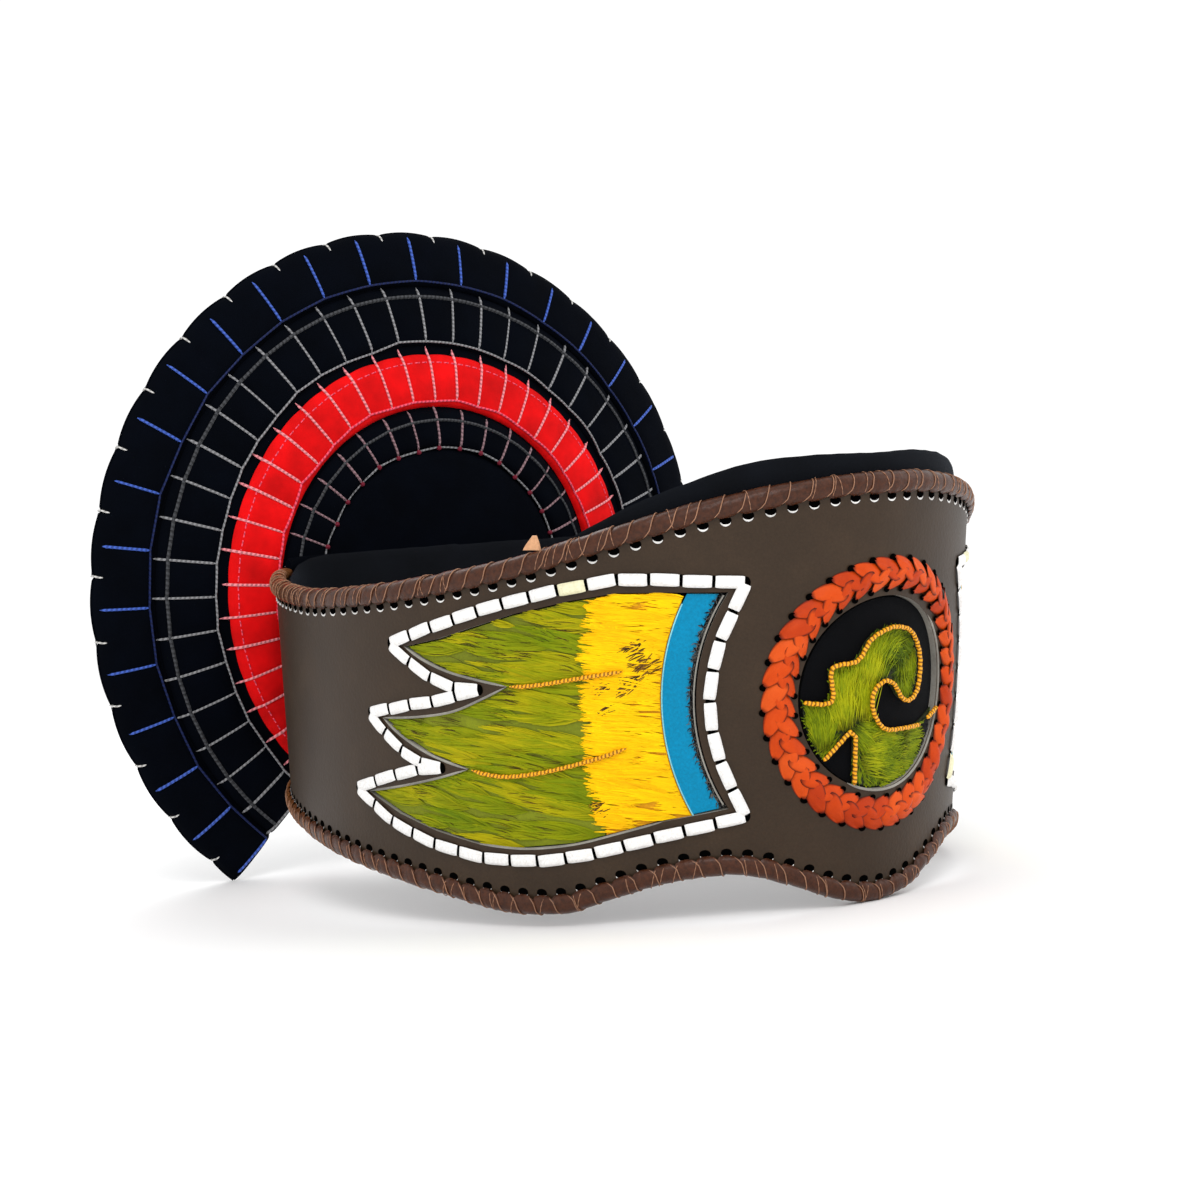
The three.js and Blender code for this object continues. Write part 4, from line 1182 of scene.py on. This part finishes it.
def dark_strip(loop, word, side):
    """Dark down in front of the blue strip, and the window's pale cut edges."""
    bm = bmesh.new()
    outline = mirror(loop, side)

    def fits(s, z):
        return inside(outline, s, z)

    ground = strip(loop, WING_FRONT_RADIUS + GAP, BLUE_INNER - 0.2)
    panel(bm, [mirror(ground, side)], INLAY_FACE + 0.3, LEATHER, 2)
    down = []
    for _ in range(DARK_STRIP_BARBS):
        angle = chance.uniform(-0.56, 0.55)
        s, z = polar(chance.uniform(WING_FRONT_RADIUS + 0.4, BLUE_INNER), angle)
        barb(down, (side * s, z), chance.uniform(0, 2 * math.pi), chance.uniform(0.7, 1.6), 0.22, 0,
             0.4, 0.8, 0.5, fits)
    blades(bm, down)
    line = [wall(side * r, z, 0.3) for r, z in arc(WING_FRONT_RADIUS + 0.55, -0.54, 0.55, 60)]
    tube(bm, line, 0.22, 5, index=1)
    tip_1, valley_1, tip_2, valley_2, tip_3 = (WING_OUTLINE.index(c) for c in WING_CORNERS)
    under = WING_OUTLINE.index((102, -36.5))
    for first, last in ((tip_1, valley_1), (valley_1, tip_2), (tip_2, valley_2), (valley_2, tip_3),
                        (under, len(WING_OUTLINE) - 1)):
        route = smooth_path(WING_OUTLINE[first:last + 1], 1.2)
        tube(bm, [wall(side * s, z, 0.1) for s, z in route], 0.3, 5, index=1, taper=4)
    piece(f"dark_down_{word}", bm, [BLACK_BARBS, CUT_EDGE_AND_HIGHLIGHT], "felt", f"wing_dark_strip_{word}",
          recalc=False)


def wing_cords(word, side):
    for name, path in (("upper", WING_CORD_UPPER), ("lower", WING_CORD_LOWER)):
        bm = bmesh.new()
        route = smooth_path(path, CORD_STEP)
        gold_cord(bm, [wall(side * s, z, INLAY_FACE - GAP - CORD_RADIUS) for s, z in route], 0.8, 2.5)
        piece(f"gold_wing_{name}_{word}", bm, [GOLD], "gold", f"wing_cord_{name}_{word}")


STITCH = 7.5                     # spacing of the white lacing's holes
STRAP_GAP = 0.38                 # from a hole to the strap that leaves it
YELLOWED_SHARE = 0.07


def wing_lacing(word, side):
    """A flat white lace in running stitches, with a hole at each end of each stitch."""
    outline = wing_outline()
    lace = offset_loop(outline, LACE_OFFSET)
    corners = [0, FRONT_STEPS] + [outline.index(c) for c in WING_CORNERS] + [len(outline)]
    lace = lace + lace[:1]
    holes = []
    for a, b in zip(corners, corners[1:]):
        run = lace[a:b + 1]
        walked = lengths(run)
        count = max(1, round(walked[-1] / STITCH))
        holes += [tuple(along(run, walked, walked[-1] * i / count)[0]) for i in range(count)]
    bm = bmesh.new()
    for a, b in zip(holes, holes[1:] + holes[:1]):
        size = math.dist(a, b)
        way = ((b[0] - a[0]) / size, (b[1] - a[1]) / size)
        aged = int(chance.random() < YELLOWED_SHARE) * 2
        jog, tip = chance.uniform(-0.12, 0.12), chance.uniform(-0.04, 0.04)

        def place(u, v):
            run = STRAP_GAP + (size - 2 * STRAP_GAP) * v
            wide = LACE_WIDTH - 0.3 * abs(2 * v - 1) ** 6
            x = (0.5 - u) * side * wide + jog + tip * (v - 0.5) * size
            edge = 1 - abs(2 * u - 1) ** 4
            end = 1 - abs(2 * v - 1) ** 5
            lift = GAP + (LACE_THICK - 0.1) * min(1, 0.25 + 0.75 * edge) * (0.15 + 0.85 * end)
            s, z = a[0] + way[0] * run - way[1] * x, a[1] + way[1] * run + way[0] * x
            return wall(side * s, z, -lift)

        patch(bm, 8, 12, place, index=aged)
        # a black disc of painted shade for the hole where the strap starts
        spot(bm, side * a[0], a[1], 1.0, 1.35, -0.12, 1)
    piece(f"white_lace_{word}", bm, [WHITE, HOLE_SHADE, YELLOWED], "white", f"wing_lacing_{word}",
          recalc=False)


def wing(word, side):
    for name in FIELDS:
        wing_field(name, side, word)
    loop = offset_loop(wing_outline(), -GAP)
    blue_strip(loop, word, side)
    dark_strip(loop, word, side)
    wing_cords(word, side)
    wing_lacing(word, side)


# ---- fan --------------------------------------------------------------------------------------
Tier = namedtuple("Tier", "inner outer height puff pockets")
Seam = namedtuple("Seam", "radius dash gap thick look")
SCALLOPS = 28                    # pockets of the outer tier, whose wraps pull the edge in
TIERS = {1: Tier(92.2, 108.8, 2.4, 0.35, SCALLOPS), 2: Tier(74, 91.8, 2.2, 0.4, 38),
         3: Tier(55.2, 71.4, 2.4, 0.3, 36), 4: Tier(43, 54.6, 2.0, 0.4, 28)}
BACK_SEAMS = [(107.6, 130), (93.8, 116), (75, 96), (57, 76), (45, 60)]    # (radius, stitches)
OVER = 0.74                      # the share of a tier's section that is its swelling face


def round_fan(share):
    """The angle at a share of the way round the fan."""
    return -FAN_HALF_ANGLE + 2 * FAN_HALF_ANGLE * share


def scallop(deg):
    """How far the outer edge is pulled in at an angle."""
    phase = (deg + FAN_HALF_ANGLE) / (2 * FAN_HALF_ANGLE) * SCALLOPS
    off = phase % 1 - 0.5
    return 0.45 * math.exp(-(off / 0.03) ** 2) + 0.7 * (1 - abs(2 * off)) ** 2


def fan_backing():
    bm = bmesh.new()

    def disc(u, v):
        radius = (FAN_CENTRE + 1.5) * (u * 2 if u < 0.5 else (1 - u) * 2)
        soft = 0.35 * noise.noise(Vector((*polar(radius * 0.06, 2 * math.pi * v), 2)))
        return fan(radius, 360 * v, 0.4 + soft if u < 0.5 else -FAN_CLOTH)

    patch(bm, 32, 96, disc, uv=lambda u, v: (u * 90, v * 260), close_v=True, fill=True)
    middle, half = (FAN_CENTRE + FAN_RADIUS) / 2, (FAN_RADIUS - FAN_CENTRE) / 2

    def shoe(u, v):
        c, h = polar(1, 2 * math.pi * v)
        r = middle - half * math.copysign(abs(c) ** 0.55, c)
        lift = 0.0 if h > 0 else -FAN_CLOTH * abs(h) ** 0.3
        deg = round_fan(u)
        return fan(r - scallop(deg) * max(0, (r - middle) / half) ** 4, deg, lift)

    patch(bm, 560, 24, shoe, uv=lambda u, v: (u * 500, v * 150), close_v=True, fill=True)
    for radius, count in BACK_SEAMS:
        for k in range(count):
            deg = -FAN_HALF_ANGLE + 2 + (2 * FAN_HALF_ANGLE - 4) * k / (count - 1)
            half_dash = 1.15 / radius * DEGREE
            dash(bm, lambda x: fan(radius, deg + half_dash * x, -FAN_CLOTH - 0.12 + 0.12 * x * x), 0.22)
    piece("fan_cloth", bm, [FAN_BLACK, GREY_THREAD], "black", "fan_backing", fill=0.2)


def dome(share):
    """How far a pocket has risen at a share of the way across it."""
    return (1 - abs(2 * share - 1) ** 3.2) ** 0.5


def tier_lift(tier, r, pull=0.0):
    """A tier's face over the backing. pull is 0 at a stitch and 1 midway between two."""
    share = min(max((r - tier.inner) / (tier.outer - tier.inner), 0), 1)
    return GAP + tier.height * dome(share) * ((1 - tier.puff) + tier.puff * pull ** 0.55)


def fan_tier(number, cloth, slot):
    """One ring of stitched pockets: cloth that swells between its radial stitches."""
    tier = TIERS[number]
    bm = bmesh.new()

    def place(u, v):
        phase = u * tier.pockets
        pull = abs(math.sin(math.pi * phase))
        deg = round_fan(u)
        w = v / OVER if v < OVER else 1 - (v - OVER) / (1 - OVER)
        r = tier.inner + (tier.outer - tier.inner) * w
        lift = 0.05
        if v < OVER:
            wave = 0.18 * noise.noise(Vector((phase * 2.1, v * 3, tier.inner)))
            lift = max(lift, tier_lift(tier, r, pull) + wave * dome(w) * 0.6)
        drawn = scallop(deg) if number == 1 else 0.35 * (1 - pull ** 0.6)
        return fan(r - drawn * max(0, (w - 0.75) * 4), deg, lift)

    patch(bm, tier.pockets * 14, 30, place, uv=lambda u, v: (u * 600, v * 40), close_v=True, fill=True)
    piece(f"pockets_{number}", bm, [cloth], slot, f"fan_tier_{number}", sharp=70, fill=0.35)


def knot(bm, place):
    ball = bmesh.ops.create_icosphere(bm, subdivisions=2, radius=0.0008)["verts"]
    for v in ball:
        v.co += place
    for f in faces_round(ball):
        f.material_index = 1
        f.smooth = True


def fan_stitches(number, slot, looks, tier, spine, tip, thread, knots=False, seam=None, joint=0):
    """Radial stitches from the spine to the tip, the spine's thread that joins their inner
    ends, whose look is joint, and a machine seam."""
    bm = bmesh.new()
    starts = []
    for k in range(tier.pockets + 1):
        deg = max(-FAN_HALF_ANGLE + 0.4, min(FAN_HALF_ANGLE - 0.4, round_fan(k / tier.pockets)))
        drift = chance.gauss(0, 0.35)
        start = spine + chance.gauss(0, 0.35)
        end = tip + chance.gauss(0, 0.45)
        line = []
        for i in range(13):
            t = i / 12
            r = start + (end - start) * t
            lift = max(tier_lift(tier, r), GAP) + (-0.03 if i == 12 else 0.22)
            line.append(fan(r, deg + drift * t * DEGREE / r, lift))
        tube(bm, line, thread * chance.uniform(0.85, 1.1), 6, taper=1.0)
        starts.append((start, deg))
        if knots:
            knot(bm, fan(start - 0.2, deg, tier_lift(tier, start) + 0.3))
    for (r0, a0), (r1, a1) in zip(starts, starts[1:]):
        line = []
        for i in range(7):
            t = i / 6
            bow = math.sin(math.pi * t)
            r = (r0 + (r1 - r0) * t) * (1 - 0.4 * (1 - math.cos(math.radians(a1 - a0) / 2)) * bow)
            line.append(fan(r, a0 + (a1 - a0) * t, max(tier_lift(tier, r, bow), GAP) + 0.2))
        tube(bm, line, thread * 0.8, 6, index=joint)
    if seam:
        machine_seam(bm, tier, seam)
    piece(f"stitches_{number}", bm, looks, slot, recalc=False)


def machine_seam(bm, tier, seam):
    """Even dashes round a tier that dip at both ends."""
    dash_angle, step = (x / seam.radius * DEGREE for x in (seam.dash, seam.dash + seam.gap))
    deg = -FAN_HALF_ANGLE + 1
    while deg + step < FAN_HALF_ANGLE:
        line = []
        for i in range(4):
            a = deg + dash_angle * i / 3
            share = (a + FAN_HALF_ANGLE) / (2 * FAN_HALF_ANGLE)
            lift = tier_lift(tier, seam.radius, abs(math.sin(math.pi * share * tier.pockets)))
            line.append(fan(seam.radius, a, lift + seam.thick * 0.35 - 0.1 * (i in (0, 3))))
        tube(bm, line, seam.thick, 5, index=seam.look)
        deg += step


# a wrap's route over the outer edge: radius, degrees aside, lift
WRAP = [(106.2, 0, 2.2), (107.2, 0, 1.7), (107.9, 0.1, 0.6), (108.0, 0.1, -0.6), (107.8, 0, -1.9),
        (107.0, 0, -2.3)]


def fan_wraps():
    """Pale stitches over the fan's outer edge, midway between the radials."""
    bm = bmesh.new()
    for k in range(SCALLOPS):
        deg = round_fan((k + 0.5) / SCALLOPS) + chance.gauss(0, 0.1)
        line = [tuple(fan(r, deg + aside, lift)) for r, aside, lift in WRAP]
        tube(bm, [smooth_line(line, i / 16) for i in range(17)], 0.3, 5, taper=0.8)
    piece("fan_wraps", bm, [PALE_THREAD], "white")


# ---- build ------------------------------------------------------------------------------------
headband_leather()
headband_lining()
headband_back()
rim_lacing("rim_top", TOP_EDGE, 1, "rim_lacing_top")
rim_lacing("rim_bottom", BOTTOM_EDGE, -1, "rim_lacing_bottom")
lace_end()
medallion_felt()
medallion_down()
medallion_cords()
medallion_edge_highlight()
braid()
for word, side in (("right", -1), ("left", 1)):
    wing(word, side)
fan_backing()
for number in TIERS:
    fan_tier(number, *((FAN_RED, "red") if number == 3 else (FAN_BLACK, "black")))
fan_stitches(1, "blue", [BLUE_THREAD, NAVY_THREAD], TIERS[1]._replace(outer=108.6), 93.6, 107, 0.42,
             joint=1)
fan_stitches(2, "white", [GREY_THREAD, DIM_THREAD], TIERS[2], 75, 92.6, 0.4,
             seam=Seam(88.9, 2.6, 0.2, 0.55, 1))
fan_stitches(3, "white", [PINK_THREAD, HOT_THREAD], TIERS[3], 57.2, 73.6, 0.4,
             seam=Seam(68.8, 1.7, 0.9, 0.2, 1), joint=1)
fan_stitches(4, "white", [ROSE_THREAD, WINE_THREAD, DIM_THREAD, GREY_THREAD], TIERS[4], 42.8, 54.8,
             0.38, knots=True, seam=Seam(51.2, 2.2, 0.2, 0.45, 2), joint=3)
fan_wraps()

# ---- camera, floor and light --------------------------------------------------------------------
# the camera's backward and rightward axes and its place, before the headband's tilt
BACK = Vector((-0.5814, -0.8058, 0.1123))
RIGHT = Vector((0.8100, -0.5863, -0.0127))
CAMERA_PLACE = Vector((-328.9, -453.5, 75.7))
camera_data = bpy.data.cameras.new("camera")
camera_data.sensor_width = 36
camera_data.lens = 61.43
camera = bpy.data.objects.new("camera", camera_data)
up = BACK.cross(RIGHT).normalized()
right = up.cross(BACK).normalized()
turn = Matrix.Rotation(FORWARD_TILT, 3, "X") @ Matrix((right, up, BACK.normalized())).transposed()
camera.matrix_world = Matrix.Translation(STANCE @ CAMERA_PLACE) @ turn.to_4x4()
bpy.context.collection.objects.link(camera)
bpy.context.scene.camera = camera
bpy.context.scene.view_settings.view_transform = "Standard"

floor_look = Look("floor", (0.95, 0.95, 0.95), 0.9)
floor_look.roughen(floor_look.noise(0.4, 3), 0.03, 0.1)
bm = bmesh.new()
bmesh.ops.create_grid(bm, x_segments=8, y_segments=8, size=3)
mesh = bpy.data.meshes.new("floor")
bm.to_mesh(mesh)
bm.free()
floor = bpy.data.objects.new("floor", mesh)
mesh.materials.append(floor_look.material)
bpy.context.collection.objects.link(floor)

world = bpy.data.worlds.new("studio")
world.use_nodes = True
world.node_tree.nodes["Background"].inputs["Color"].default_value = (1, 1, 1, 1)
world.node_tree.nodes["Background"].inputs["Strength"].default_value = 1.08
bpy.context.scene.world = world


def lamp(name, place, aim, size, power):
    data = bpy.data.lights.new(name, "AREA")
    data.shape = "DISK"
    data.size = size
    data.energy = power
    obj = bpy.data.objects.new(name, data)
    obj.location = place
    obj.rotation_mode = "QUATERNION"
    obj.rotation_quaternion = (Vector(aim) - Vector(place)).to_track_quat("-Z", "Y")
    bpy.context.collection.objects.link(obj)


lamp("key", (-0.6, -0.9, 1.0), (0, 0, 0.09), 0.6, 6)
lamp("fill", (0.9, -0.7, 0.6), (0, 0, 0.09), 0.9, 2)
lamp("back", (0.2, 0.9, 0.9), (0, 0.05, 0.1), 0.8, 3)
